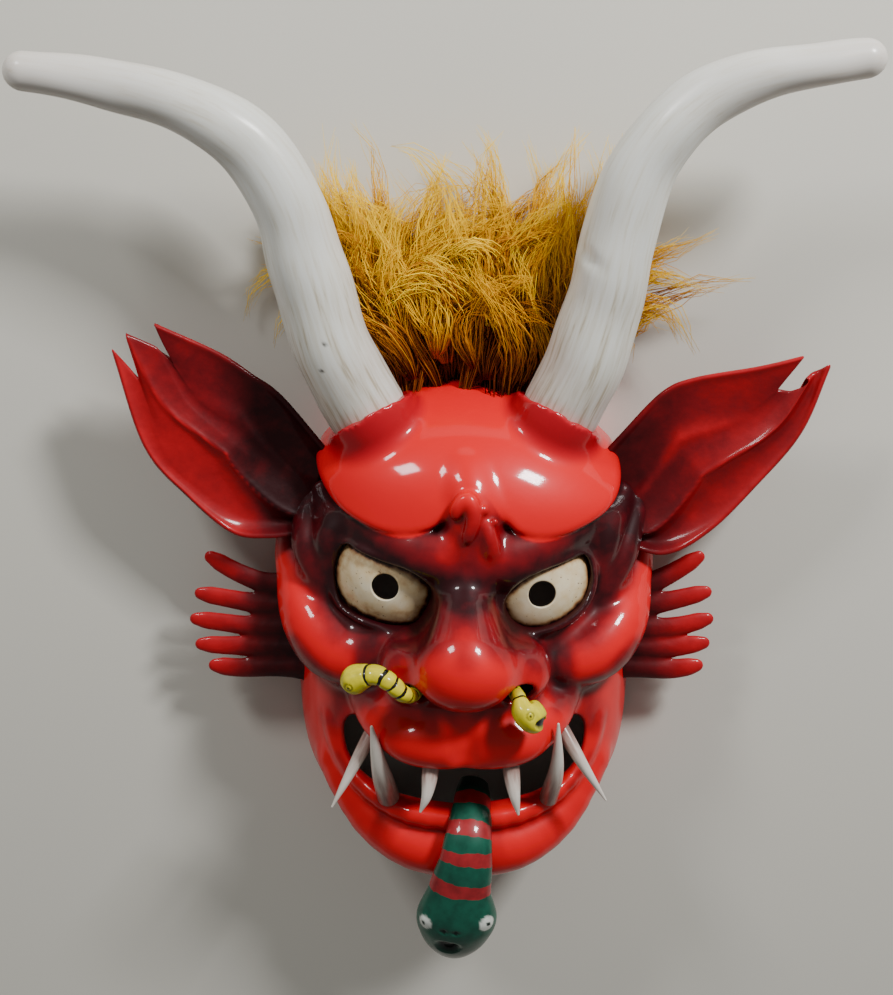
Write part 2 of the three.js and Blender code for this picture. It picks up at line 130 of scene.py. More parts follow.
def outline_distance(outline, x, y):
    """How far places lie from a closed outline, less than 0 inside."""
    nearest = np.full(np.broadcast(x, y).shape, FAR)
    inside = np.zeros(nearest.shape, bool)
    for a, b in zip(outline, np.roll(outline, -1, 0)):
        way = b - a
        t = np.clip(((x - a[0]) * way[0] + (y - a[1]) * way[1]) / (way @ way), 0, 1)
        nearest = np.minimum(nearest, np.hypot(x - a[0] - t * way[0], y - a[1] - t * way[1]))
        if way[1]:
            crosses = (a[1] > y) != (b[1] > y)
            inside ^= crosses & (x < a[0] + (y - a[1]) / way[1] * way[0])
    return np.where(inside, -nearest, nearest)


# The shield's outline, right half, from its notch over the frown round to the top
SHIELD_OUTLINE = mirrored(smooth_line([
    [0, 99], [8, 95], [13, 87], [19, 76], [29, 67], [44, 62.5], [60, 63.5], [75, 68],
    [88, 74], [97, 82], [103, 93], [102.5, 104], [92, 116], [84, 129], [76, 143], [60, 156],
    [0, 170],
], 4))


# Clay


class Ball:
    """An ellipsoid of clay, turned about Z."""

    def __init__(self, centre, radii, turn=0.0):
        self.centre = np.array(centre, float)
        self.radii = np.array(radii, float)
        self.turn = math.radians(turn)

    def box(self):
        reach = np.minimum(self.radii, FAR)
        if self.turn:
            reach = np.full(3, reach.max())
        return self.centre - reach, self.centre + reach

    def distance(self, x, y, z):
        dx, dy, dz = x - self.centre[0], y - self.centre[1], z - self.centre[2]
        if self.turn:
            c, s = math.cos(self.turn), math.sin(self.turn)
            dx, dy = dx * c + dy * s, dy * c - dx * s
        rx, ry, rz = self.radii
        far = np.sqrt((dx / rx) ** 2 + (dy / ry) ** 2 + (dz / rz) ** 2)
        slope = np.sqrt((dx / rx ** 2) ** 2 + (dy / ry ** 2) ** 2 + (dz / rz ** 2) ** 2)
        return far * (far - 1) / (slope + 1e-9)


class Roll:
    """A roll of clay through points (x, y, z, radius)."""

    def __init__(self, *points):
        self.line = smooth_line(points, 3)

    def box(self):
        radius = self.line[:, 3].max()
        middle = self.line[:, :3]
        return middle.min(0) - radius, middle.max(0) + radius

    def distance(self, x, y, z):
        nearest = None
        for a, b in zip(self.line, self.line[1:]):
            way = (b - a)[:3]
            along = (x - a[0]) * way[0] + (y - a[1]) * way[1] + (z - a[2]) * way[2]
            t = np.clip(along / (way @ way), 0, 1)
            dx, dy, dz = x - a[0] - t * way[0], y - a[1] - t * way[1], z - a[2] - t * way[2]
            off = np.sqrt(dx * dx + dy * dy + dz * dz) - (a[3] + t * (b[3] - a[3]))
            nearest = off if nearest is None else smooth_min(nearest, off, 6)
        return nearest


class Shield:
    """The forehead's raised shield: a flattened dome inside an outline with two lobes."""

    dome = Ball([0, 50, 0], [136, 102, 126])
    flat = Ball([0, 66, 0], [170, 150, 121])

    def box(self):
        return np.array([-112.0, 50, 0]), np.array([112.0, 155, 135])

    def distance(self, x, y, z):
        edge = outline_distance(SHIELD_OUTLINE, x, y)
        dome = smooth_max(self.dome.distance(x, y, z), self.flat.distance(x, y, z), 22)
        return smooth_max(dome, edge, 6)


class Clay:
    """A block of clay on a grid, as distances in millimetres: less than 0 inside."""

    def __init__(self, axes, fold=None):
        self.axes = [np.asarray(axis, np.float32) for axis in axes]
        self.fold = fold
        self.field = np.full([len(axis) for axis in self.axes], FAR, np.float32)

    def patches(self, form, blend):
        """The parts of the grid that a form reaches, with their coordinates."""
        low, high = form.box()
        margin = blend + 5
        low, high = low - margin, high + margin
        spans = [(low[0], high[0])]
        if self.fold:
            low[0] -= FROWN_DRIFT
            high[0] += FROWN_DRIFT
            other = (-high[0], -low[0])
            spans = [(-high[0], high[0])] if low[0] <= 0 else [(low[0], high[0]), other]
            low[1] -= RIGHT_DROP
        for span in spans:
            limits = [span, (low[1], high[1]), (low[2], high[2])]
            part = tuple(
                slice(*np.searchsorted(axis, limit)) for axis, limit in zip(self.axes, limits)
            )
            x = self.axes[0][part[0]][:, None, None]
            y = self.axes[1][part[1]][None, :, None]
            z = self.axes[2][part[2]][None, None, :]
            if self.fold:
                x, y = self.fold(x, y)
            yield part, x, y, z

    def add(self, form, blend):
        for part, x, y, z in self.patches(form, blend):
            self.field[part] = smooth_min(self.field[part], form.distance(x, y, z), blend)

    def cut(self, form, blend):
        for part, x, y, z in self.patches(form, blend):
            self.field[part] = smooth_max(self.field[part], -form.distance(x, y, z), blend)

    def sample(self, points):
        """The distances at points, read between the grid's lines."""
        value = 0
        place = [np.interp(points[:, i], a, np.arange(len(a))) for i, a in enumerate(self.axes)]
        low = [np.minimum(p.astype(int), len(a) - 2) for p, a in zip(place, self.axes)]
        part = [p - l for p, l in zip(place, low)]
        for corner in np.ndindex(2, 2, 2):
            weight = 1
            for p, c in zip(part, corner):
                weight = weight * (p if c else 1 - p)
            value = value + weight * self.field[tuple(l + c for l, c in zip(low, corner))]
        return value

    def slope(self, points, step=1.0):
        """Which way is out, at points."""
        sides = [self.sample(points + step * e) - self.sample(points - step * e) for e in np.eye(3)]
        return np.stack(sides, 1) / (2 * step)

    def skin(self, rounds=3):
        """The clay's surface as points and four-sided faces, evened out along the surface."""
        points, faces = surface_net(self.field, self.axes)
        edges = np.concatenate([faces[:, [i, (i + 1) % 4]] for i in range(4)])
        edges = np.concatenate([edges, edges[:, ::-1]])
        count = np.bincount(edges[:, 0], minlength=len(points))[:, None]
        for _ in range(rounds):
            total = [np.bincount(edges[:, 0], points[edges[:, 1], i], len(points)) for i in range(3)]
            points = 0.4 * points + 0.6 * np.stack(total, 1) / count
            for _ in range(2):
                slope = self.slope(points)
                steep = (slope * slope).sum(1) + 1e-3
                points = points - (np.clip(self.sample(points), -1, 1) / steep)[:, None] * slope
        return points, faces


def surface_net(field, axes):
    """Points in the cells that the surface passes through, joined into four-sided faces."""
    inside = field < 0
    shape = np.array(field.shape)
    corners = list(np.ndindex(2, 2, 2))
    filled = np.zeros(shape - 1, np.int8)
    for i, j, k in corners:
        filled += inside[i:shape[0] - 1 + i, j:shape[1] - 1 + j, k:shape[2] - 1 + k]
    live = (filled > 0) & (filled < 8)
    number = np.full(live.shape, -1)
    number[live] = np.arange(live.sum())
    cells = np.argwhere(live)
    value = {c: field[tuple((cells + c).T)] for c in corners}
    total = np.zeros((len(cells), 3))
    crossings = np.zeros(len(cells))
    for axis in range(3):
        for near in corners:
            if near[axis]:
                continue
            far = tuple(1 if i == axis else c for i, c in enumerate(near))
            a, b = value[near], value[far]
            crosses = (a < 0) != (b < 0)
            share = np.where(crosses, a / np.where(crosses, a - b, 1), 0)
            place = np.array(near, float) + share[:, None] * np.eye(3)[axis]
            total += np.where(crosses[:, None], place, 0)
            crossings += crosses
    place = cells + total / crossings[:, None]
    points = np.stack(
        [np.interp(place[:, i], np.arange(len(a)), a) for i, a in enumerate(axes)], 1
    )
    faces = []
    for axis in range(3):
        here, there = [slice(1, -1)] * 3, [slice(1, -1)] * 3
        here[axis], there[axis] = slice(0, -1), slice(1, None)
        a, b = inside[tuple(here)], inside[tuple(there)]
        edge = np.argwhere(a != b) + 1
        edge[:, axis] -= 1
        u, v = np.eye(3, dtype=int)[(axis + 1) % 3], np.eye(3, dtype=int)[(axis + 2) % 3]
        face = np.stack([number[tuple((edge - s).T)] for s in (0 * u, u, u + v, v)], 1)
        flip = ~a[a != b]
        face[flip] = face[flip][:, ::-1]
        faces.append(face)
    return points, np.concatenate(faces)


def spaced(low, fine_low, fine_high, high, fine, coarse):
    """Grid lines, fine between two places and coarse outside them."""
    before = np.arange(fine_low, low - coarse, -coarse)[:0:-1]
    middle = np.arange(fine_low, fine_high, fine)
    after = np.arange(fine_high, high + coarse, coarse)
    return np.concatenate([before, middle, after])


# The face


def evened(x, y):
    """A place on the real, slightly uneven face, brought to its half of the even one."""
    share = smoothstep(0, 40, x)
    drop = RIGHT_DROP * share * np.exp(-((y - DROP_HEIGHT) / DROP_REACH) ** 2)
    drift = FROWN_DRIFT * np.exp(-((y - DRIFT_HEIGHT) / DRIFT_REACH) ** 2)
    return np.abs(x - drift), y + drop


def folded(x, y):
    """A place brought to its half of the even face."""
    return np.abs(x), y


HEAD = [
    (Ball([0, 34, 0], [108, 108, 104]), 1),
    (Ball([0, -6, 0], [123, 108, 98]), 36),
    (Ball([0, -98, 4], [117, 104, 98]), 44),
]
NOSE = [
    (Roll([0, 36, 98, 15], [0, 14, 114, 18], [0, -10, 131, 27]), 10),
    (Ball([0, -19, 137], [34, 28, 30]), 12),
    (Roll([13, 9, 101, 8], [21, -8, 108, 12], [31, -24, 113, 20], [34, -28, 113, 21.5]), 13),
]
TEMPLE_FOLDS = [
    (Roll([102, 74, 40, 9], [92, 54, 66, 11], [90, 38, 66, 10], [88, 24, 66, 8]), 4),
    (Roll([112, 66, 38, 9], [106, 44, 56, 12], [99, 26, 62, 10], [92, 12, 68, 6]), 4),
    (Roll([104, 82, 16, 9], [118, 56, 24, 10], [121, 34, 30, 9], [120, 20, 34, 7]), 6),
]
CHEEK_AND_BROW = [
    (Roll([117, 36, 28, 9], [115, 13, 42, 14], [104, -9, 59, 21], [89, -26, 70, 23],
          [68, -34, 80, 18]), 9),
    (Roll([92, 64, 52, 9], [74, 62, 70, 14], [50, 56, 88, 17], [28, 48, 97, 20],
          [0, 44, 98, 19]), 9),
]
FROWN_MOUND = Roll([0, 100, 92, 14], [0, 86, 100, 15.5], [0, 70, 101.5, 17.5], [0, 54, 98, 19])
MOUTH = [
    (Ball([0, -56, 90], [52, 34, 38]), 16),
    (Roll([0, -78, 116, 19], [26, -76, 115, 19], [50, -70, 103, 16], [68, -60, 86, 9]), 10),
    (Ball([31, -77, 121], [19, 11, 13]), 10),
    (Roll([0, -169, 90, 20], [34, -165, 86, 19.5], [64, -151, 70, 17], [90, -120, 50, 13]), 10),
    (Roll([0, -142, 102, 7.5], [36, -139, 97, 7.5], [64, -129, 82, 7], [84, -109, 66, 6],
          [93, -83, 58, 5]), 5),
]
# The groove from the nose down through the upper lip
LIP_GROOVE = Roll([0, -60, 139, 4.5], [0, -74, 140, 5.5], [0, -90, 137, 5])
# Wrinkles and drops of clay over the frown, on the real face
FROWN = [
    (Roll([-7, 79, 119, 2.2], [-4, 86, 118, 2.4], [1.5, 90, 117, 2.6], [5, 84, 119, 2.6],
          [5, 74, 120.5, 2.6], [1, 63, 121, 2.2]), 2),
    (Roll([0, 66, 117, 3], [0, 50, 114, 5]), 4),
    (Roll([14, 74, 118, 2], [16, 63, 119, 3], [18, 50, 115, 5]), 3),
    (Ball([12, 83, 119], [2.8, 3.4, 2.8]), 1.5),
    (Ball([19, 75, 119.5], [2.2, 2.6, 2.2]), 1.5),
    (Ball([15, 63, 122], [2, 4.4, 2.2]), 1.5),
]

# On the left the cheek's roll runs on to the wing of the nose
LEFT_CHEEK_END = Roll([-70, -30, 80, 16], [-60, -25, 86, 14], [-50, -18, 92, 11])

# The mouth's outline, right half, from the middle of the upper lip round to the lower lip
MOUTH_OUTLINE = mirrored(smooth_line([
    [0, -94], [28, -94], [44, -91], [55, -87], [64, -81], [71, -76], [78, -76],
    [83, -84], [83, -97], [79, -109], [68, -120.5], [45, -130.5], [0, -135.5],
], 3))
MOUTH_BACK = 40.0
NOSTRIL = Ball([35, -39, 138], [12, 8, 22], turn=22)
NOSTRIL_HOLE = Roll([29, -32, 106, 6], [34, -38, 140, 6])

# The skin that rises round the foot of each horn: its line, and how far it stands off
COLLAR = np.array([[45.0, 92, 38], [54, 112, 50], [62, 131, 57.5], [66.5, 142, 61]])
COLLAR_RADII = [29.0, 29.6, 28.6, 28.6]
COLLAR_END = [68.0, 134.0, 80.0]
COLLAR_END_FACES = [0.49, 0.857, -0.155]


class Collar:
    """A sleeve round the horn's foot that ends thin and ragged across the horn."""

    def __init__(self):
        self.roll = Roll(*[[*p, r] for p, r in zip(COLLAR, COLLAR_RADII)])

    def box(self):
        return self.roll.box()

    def distance(self, x, y, z):
        past = sum((c - e) * w for c, e, w in zip((x, y, z), COLLAR_END, COLLAR_END_FACES))
        turn = np.arctan2(z - COLLAR_END[2], x - COLLAR_END[0])
        ragged = 0.8 * np.sin(3 * turn + 1) + 0.3 * np.sin(7 * turn) + 0.25 * np.sin(17 * turn)
        return smooth_max(self.roll.distance(x, y, z), past - ragged, 0.5)


# The eyes' openings between the lids, each outline on its own eyeball, from the outer corner
# round under the eye; X and Y as on the even half face
EYE_OUTLINES = {
    -1: smooth_ring([
        [82, 47.5], [88, 30.2], [85.3, 13.7], [77.4, 6.1], [64.3, 1.1], [47.5, -3.3],
        [34.1, -1.5], [26, 10.5], [23.2, 21.5], [27.8, 30], [38.9, 38.2], [54.8, 43.1],
        [70.4, 47],
    ], 3),
    1: smooth_ring([
        [79.5, 46], [83.5, 33.4], [80, 19.7], [69.2, 9.8], [56.4, 3.7], [43, 1.6],
        [32.2, 7.6], [27.3, 19.5], [32.5, 30.1], [44.2, 39.2], [64.4, 45.3],
    ], 3),
}
LID_FLARE = 0.24
LID_RADIUS = 3


def eyeball_height(x, y):
    """The height of the eyeball's skin over a place on the even half face."""
    across = (x - EYE_CENTRE[0]) ** 2 + (y - EYE_CENTRE[1]) ** 2
    return EYE_CENTRE[2] + np.sqrt(np.maximum(EYE_RADIUS ** 2 - across, 0))


def lid_rim(side):
    """A thin roll of clay laid round the eye's opening."""
    ring = EYE_OUTLINES[side]
    ring = np.vstack([ring, ring[:1]])
    height = eyeball_height(ring[:, 0], ring[:, 1]) + 0.5
    level = ring[:, 1] - EYE_DROP[side]
    return Roll(*np.column_stack([side * ring[:, 0], level, height, 0 * height + LID_RADIUS]))


def from_eye_edge(side, x, y):
    """How far places on the real face lie from an eye's opening, less than 0 inside."""
    return outline_distance(EYE_OUTLINES[side], side * x, y + EYE_DROP[side])


def eye_opening(side, x, y, z):
    """The clay that is cut away in front of an eye, flaring out towards the front."""
    edge = from_eye_edge(side, x, y)
    skin = eyeball_height(side * x, y + EYE_DROP[side])
    above = z - np.maximum(skin, EYE_CENTRE[2] + 16)
    return np.maximum(edge - LID_FLARE * np.clip(above, -8, 22), skin - 2 - z)


# The grid's lines along X, Y and Z: its ends, the fine part between, and both steps
FACE_GRID = [
    (-138, -96, 96, 138, 1.5, 2.2),
    (-206, -160, 104, 158, 1.5, 2.2),
    (-3.2, 48.8, 170, 174, 1.7, 2.6),
]


def face_clay():
    """The whole shell: the outside, less the inside, the mouth, the eyes and the nostrils."""
    axes = [spaced(*lines) for lines in FACE_GRID]
    clay = Clay(axes, evened)
    for form, blend in HEAD + TEMPLE_FOLDS + CHEEK_AND_BROW:
        clay.add(form, blend)
    clay.add(Shield(), 2)
    clay.add(FROWN_MOUND, 7)
    for form, blend in NOSE + MOUTH:
        clay.add(form, blend)
    clay.fold = None
    for form, blend in FROWN + [(LEFT_CHEEK_END, 8), (lid_rim(-1), 4), (lid_rim(1), 4)]:
        clay.add(form, blend)

    inside = Clay(axes, folded)
    for form, blend in HEAD:
        inside.add(form, blend)
    inside.add(Shield(), 24)
    for form, blend in NOSE:
        inside.add(form, blend)
    hollow = smooth_max(inside.field + WALL, clay.field + 0.8 * WALL, 3)
    x, y, z = np.meshgrid(*axes, indexing="ij", sparse=True)
    openings = [eye_opening(side, x, y, z) for side in (-1, 1)]
    hollow = np.maximum(hollow, 0.8 * WALL - np.minimum(*openings))

    clay.fold = folded
    clay.add(Collar(), 9)
    clay.field = smooth_max(clay.field, -hollow, 1)
    mouth = np.maximum(outline_distance(MOUTH_OUTLINE, x, y), MOUTH_BACK - z)
    clay.field = smooth_max(clay.field, -mouth, 4)
    clay.cut(LIP_GROOVE, 7)
    clay.cut(NOSTRIL, 3)
    clay.cut(NOSTRIL_HOLE, 2)
    clay.fold = None
    for side, opening in zip((-1, 1), openings):
        clay.field = smooth_max(clay.field, -opening, 2)
        clay.cut(Ball(eye_centre(side), [EYE_RADIUS + EYE_GAP] * 3), 1)
    clay.field = np.maximum(clay.field, -z).astype(np.float32)
    inside.field = hollow.astype(np.float32)
    return clay, inside


def eye_centre(side):
    return EYE_CENTRE * [side, 1, 1] - [0, EYE_DROP[side], 0]


# Where the face is darkened: partly the mask's own dark maroon glaze round the eyes and
# temples, and partly painted shade in creases and recesses and under the brow, nose, lips and
# jaw. Strokes of (x, y, radius) on the even half face, each with how softly it ends and how
# dark it is
GLAZE_AND_SHADE_STROKES = [
    ([[0, 27, 9], [20, 33, 6], [44, 42, 3], [66, 50, 3], [88, 60, 8], [106, 76, 10]], 11, 1.0),
    ([[106, 66, 16], [104, 44, 15], [98, 28, 10], [90, 14, 6]], 12, 0.8),
    ([[88, 2, 8], [68, -8, 8], [46, -14, 5]], 16, 0.62),
    ([[15, 12, 5], [28, 0, 2], [44, -7, 1]], 10, 0.6),
    ([[62, -14, 3], [66, -30, 4], [64, -46, 3]], 8, 0.7),
    ([[118, -22, 3], [104, -40, 4], [86, -50, 3], [64, -54, 2]], 9, 0.6),
    ([[0, -46, 3], [24, -46, 4], [44, -46, 5]], 12, 0.55),
    ([[0, -150, 0], [36, -148, 0], [66, -136, 0], [88, -108, 0]], 6, 0.3),
    ([[84, -66, 4], [92, -84, 3]], 12, 0.5),
    ([[0, 46, 4], [0, 58, 3]], 14, 0.4),
    ([[0, -206, 2], [44, -200, 3], [80, -178, 3]], 9, 0.6),
    ([[0, 12, 4], [0, -2, 3]], 12, 0.3),
    ([[58, -40, 2], [80, -52, 4], [98, -50, 3]], 14, 0.35),
]


def from_stroke(stroke, x, y):
    """How far places lie from a stroke, a line of (x, y, radius) seen from the front."""
    return Roll(*[[a, b, 0, radius] for a, b, radius in stroke]).distance(x, y, 0 * x)


def glaze_on_face(x, y):
    """How dark the glaze and the painted shade are at places on the real face."""
    side, level = evened(x, y)
    clear = np.ones(side.shape)
    for points, soft, dark in GLAZE_AND_SHADE_STROKES:
        near = smoothstep(soft, -0.4 * soft, from_stroke(points, side, level))
        clear = clear * (1 - dark * near)
    for eye in (-1, 1):
        clear = clear * (1 - smoothstep(11, 1.5, from_eye_edge(eye, x, y)))
    # Painted shade under the shield's overhanging edge, deeper towards the sides; none on the shield
    under_shield = outline_distance(SHIELD_OUTLINE, side, level)
    brow = smoothstep(-1, 1.5, under_shield) * smoothstep(30, 46, y)
    clear = clear * (1 - brow * (0.42 + 0.25 * smoothstep(10, 34, side)) * smoothstep(96, 72, y))
    shield = smoothstep(1.5, -0.5, under_shield)
    return (1 - clear) * (1 - shield)


# Meshes


def placed(points):
    """Places on the mask, in millimetres, as places in the frame, in metres."""
    return (np.asarray(points) + MIDLINE) / 1000


def mesh_from(name, points, faces):
    mesh = bpy.data.meshes.new(name)
    mesh.from_pydata(points.tolist(), [], faces.tolist())
    return mesh


def paint(mesh, **masks):
    """Values at the mesh's points, which its material reads by name."""
    for name, values in masks.items():
        kind = "FLOAT_VECTOR" if np.ndim(values) == 2 else "FLOAT"
        layer = mesh.attributes.new(name, kind, "POINT")
        field = "vector" if kind == "FLOAT_VECTOR" else "value"
        layer.data.foreach_set(field, np.asarray(values, np.float32).ravel())


def finished(bm, name):
    """The mesh of a bmesh that is done with."""
    mesh = bpy.data.meshes.new(name)
    bm.to_mesh(mesh)
    bm.free()
    return mesh


def into_scene(data):
    """A new object in the scene, named as its data."""
    made = bpy.data.objects.new(data.name, data)
    bpy.context.scene.collection.objects.link(made)
    return made


def piece(mesh, material, node):
    """A finished piece in the place of a node of the frame."""
    mesh.polygons.foreach_set("use_smooth", [True] * len(mesh.polygons))
    mesh.materials.append(material)
    made = into_scene(mesh)
    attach(made, "root")
    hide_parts(node)
    return made


def places(mesh):
    flat = np.empty(3 * len(mesh.vertices))
    mesh.vertices.foreach_get("co", flat)
    return flat.reshape(-1, 3)


def put(mesh, points):
    mesh.vertices.foreach_set("co", np.asarray(points, float).ravel())
    mesh.update()


def on_mask(mesh):
    """The mesh's places in millimetres on the mask, as x, y and z."""
    return (places(mesh) * 1000 - MIDLINE).T


def share_of(mesh):
    """How far along its body each point of a mesh lies, from 0 to 1."""
    return np.array([value.value for value in mesh.attributes["share"].data])


def drawn(strokes, x, y, soft):
    """How far places lie under strokes, from 0 to 1."""
    covered = np.zeros(np.shape(x))
    for stroke in strokes:
        covered = np.maximum(covered, smoothstep(soft, -soft, from_stroke(stroke, x, y)))
    return covered


def fitted(mesh, node):
    """The mesh drawn in where it would leave its node's box."""
    points = places(mesh)
    low, high = (np.array(corner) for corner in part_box(node))
    own_low, own_high = points.min(0), points.max(0)
    low, high = np.maximum(low, own_low), np.minimum(high, own_high)
    put(mesh, low + (points - own_low) * (high - low) / (own_high - own_low))


class Body:
    """A round body drawn along a line of points, closed at both ends.

    radii holds [share of the length, radius]. flat is its depth along up, over its width.
    """

    def __init__(self, points, radii, up=(0, 0, 1), flat=1.0, ends=(0.2, 1.0)):
        line = smooth_line(points, 16)
        steps = np.linalg.norm(np.diff(line, axis=0), axis=1)
        run = np.concatenate([[0], np.cumsum(steps)])
        self.length = run[-1]
        self.run = run / run[-1]
        self.line = line
        self.profile = smooth_line(radii, 6)
        self.up = np.array(up, float)
        self.flat = flat
        self.ends = ends

    def at(self, share):
        return np.stack([np.interp(share, self.run, self.line[:, i]) for i in range(3)], -1)

    def radius(self, share):
        """The profile, rounded off over a share of the radius at each end."""
        radius = np.interp(share, self.profile[:, 0], self.profile[:, 1])
        for end, left in zip(self.ends, (share, 1 - share)):
            near = np.clip(left * self.length / (end * radius + 1e-6), 0, 1)
            radius = radius * np.sqrt(np.clip(1 - (1 - near) ** 2, 0, 1))
        return radius

    def place(self, share, turn, lift=0.0):
        """The place on the skin a share of the way along and at a turn, in radians."""
        step = 0.004
        way = self.at(np.clip(share + step, 0, 1)) - self.at(np.clip(share - step, 0, 1))
        way /= np.linalg.norm(way, axis=-1, keepdims=True)
        across = np.cross(self.up, way)
        across /= np.linalg.norm(across, axis=-1, keepdims=True)
        over = np.cross(across, way)
        radius = self.radius(share) + lift
        wide = np.asarray(radius * np.cos(turn))[..., None]
        deep = np.asarray(radius * np.sin(turn) * self.flat)[..., None]
        return self.at(share) + wide * across + deep * over

    def mesh(self, name, sides, rings, lift=None):
        """The skin, with what its paint follows: share, and the place if it were straight."""
        bm = bmesh.new()
        bmesh.ops.create_uvsphere(bm, u_segments=sides, v_segments=rings, radius=1)
        mesh = finished(bm, name)
        ball = places(mesh)
        share = (1 - ball[:, 2]) / 2
        turn = np.arctan2(ball[:, 1], ball[:, 0])
        extra = lift(share, turn) if lift else 0.0
        put(mesh, placed(self.place(share, turn, extra)))
        radius = self.radius(share)
        straight = np.stack([radius * np.cos(turn), radius * np.sin(turn), share * self.length], 1)
        paint(mesh, share=share, straight=straight / 1000)
        return mesh


# Materials


def linear(colour):
    """An sRGB hex colour as linear values."""
    parts = [int(colour[i:i + 2], 16) / 255 for i in (1, 3, 5)]
    return [p / 12.92 if p <= 0.04045 else ((p + 0.055) / 1.055) ** 2.4 for p in parts] + [1]


def per(millimetres):
    """The scale of a pattern whose marks are so many millimetres across."""
    return 1000 / millimetres


def add(tree, kind, inputs=(), stops=(), out=0, **settings):
    """An output of a new node with settings, inputs and, for a colour ramp, stops.

    Colours are sRGB hex strings.
    """
    node = tree.nodes.new("ShaderNode" + kind)
    for name, value in settings.items():
        setattr(node, name, value)
    for key, value in dict(inputs).items():
        if isinstance(value, bpy.types.NodeSocket):
            tree.links.new(value, node.inputs[key])
        else:
            node.inputs[key].default_value = linear(value) if isinstance(value, str) else value
    if stops:
        first, *middle, last = [(place, linear(colour)) for place, colour in stops.items()]
        elements = node.color_ramp.elements
        elements[0].position, elements[0].color = first
        elements[1].position, elements[1].color = last
        for place, colour in middle:
            elements.new(place).color = colour
    return node.outputs[out]


def wire(tree, shader, **sockets):
    """The shader's inputs that other nodes feed."""
    for key, output in sockets.items():
        tree.links.new(output, shader.inputs[key.replace("_", " ")])


def new_material(name, **plain):
    """A material, its tree and its shader, whose plain values are set on its own sockets."""
    material = bpy.data.materials.new(name)
    material.use_nodes = True
    tree = material.node_tree
    shader = tree.nodes["Principled BSDF"]
    for key, value in plain.items():
        shader.inputs[key.replace("_", " ")].default_value = value
    return material, tree, shader


def build_face_enamel():
    # Alkyd gloss enamel, brushed over sanded papier-mache, with a dark glaze and painted shade
    # in creases, recesses and under the brow, nose, lips and jaw laid into its colour: a wet, even
    # shine on slightly wavy ground, clouded where the glaze thins out. The inside is painted dark
    # brown, and the nostril holes are darkened with it as painted shade.
    material, tree, shader = new_material(
        "gloss_enamel_brushed_red", Specular_IOR_Level=0.15, Coat_Weight=0.6, Coat_Roughness=0.09
    )
    where = add(tree, "TexCoord", out="Object")
    painted = add(tree, "Attribute", attribute_name="glaze", out="Fac")
    # Painted shade in the creases
    crease = add(tree, "Attribute", attribute_name="crease", out="Fac")
    # The inside's dark brown paint, also laid in and round the nostril holes as painted shade
    inner = add(tree, "Attribute", attribute_name="inner", out="Fac")
    collar = add(tree, "Attribute", attribute_name="collar", out="Fac")
    cloud = add(tree, "TexNoise", {0: where, "Scale": per(16), "Detail": 5})
    wander = add(tree, "Math", {0: cloud, 1: 0.5}, operation="SUBTRACT")
    ground = add(tree, "MapRange", {0: painted, 1: 0.0, 2: 0.3, 3: 0.0, 4: 0.6})
    thinned = add(tree, "Math", {0: wander, 1: ground, 2: painted}, operation="MULTIPLY_ADD")
    # The glaze, deepened by painted shade in the creases
    glaze = add(
        tree, "Math", {0: crease, 1: 0.35, 2: thinned}, operation="MULTIPLY_ADD", use_clamp=True
    )
    colour = add(
        tree, "ValToRGB", {0: glaze},
        stops={0.0: "#dc0b19", 0.3: "#b20a18", 0.6: "#7c0a16", 0.85: "#540813", 1.0: "#2c040b"},
    )
    patch = add(tree, "TexNoise", {0: where, "Scale": per(60), "Detail": 2})
    tint = add(tree, "ValToRGB", {0: patch}, stops={0.3: "#ffd9de", 0.7: "#fff4f2"})
    toned = add(
        tree, "Mix", {0: 1.0, 6: colour, 7: tint}, data_type="RGBA", blend_type="MULTIPLY", out=2
    )
    banded = add(tree, "Mix", {0: collar, 6: toned, 7: "#a80c20"}, data_type="RGBA", out=2)
    whole = add(tree, "Mix", {0: inner, 6: banded, 7: "#150806"}, data_type="RGBA", out=2)
    rough = add(tree, "MapRange", {0: inner, 3: 0.46, 4: 0.75})
    brush = add(tree, "TexNoise", {0: where, "Scale": per(9), "Detail": 3})
    bump = add(tree, "Bump", {"Strength": 0.2, "Distance": 0.0006, "Height": brush})
    wire(tree, shader, Base_Color=whole, Roughness=rough, Normal=bump)
    return material


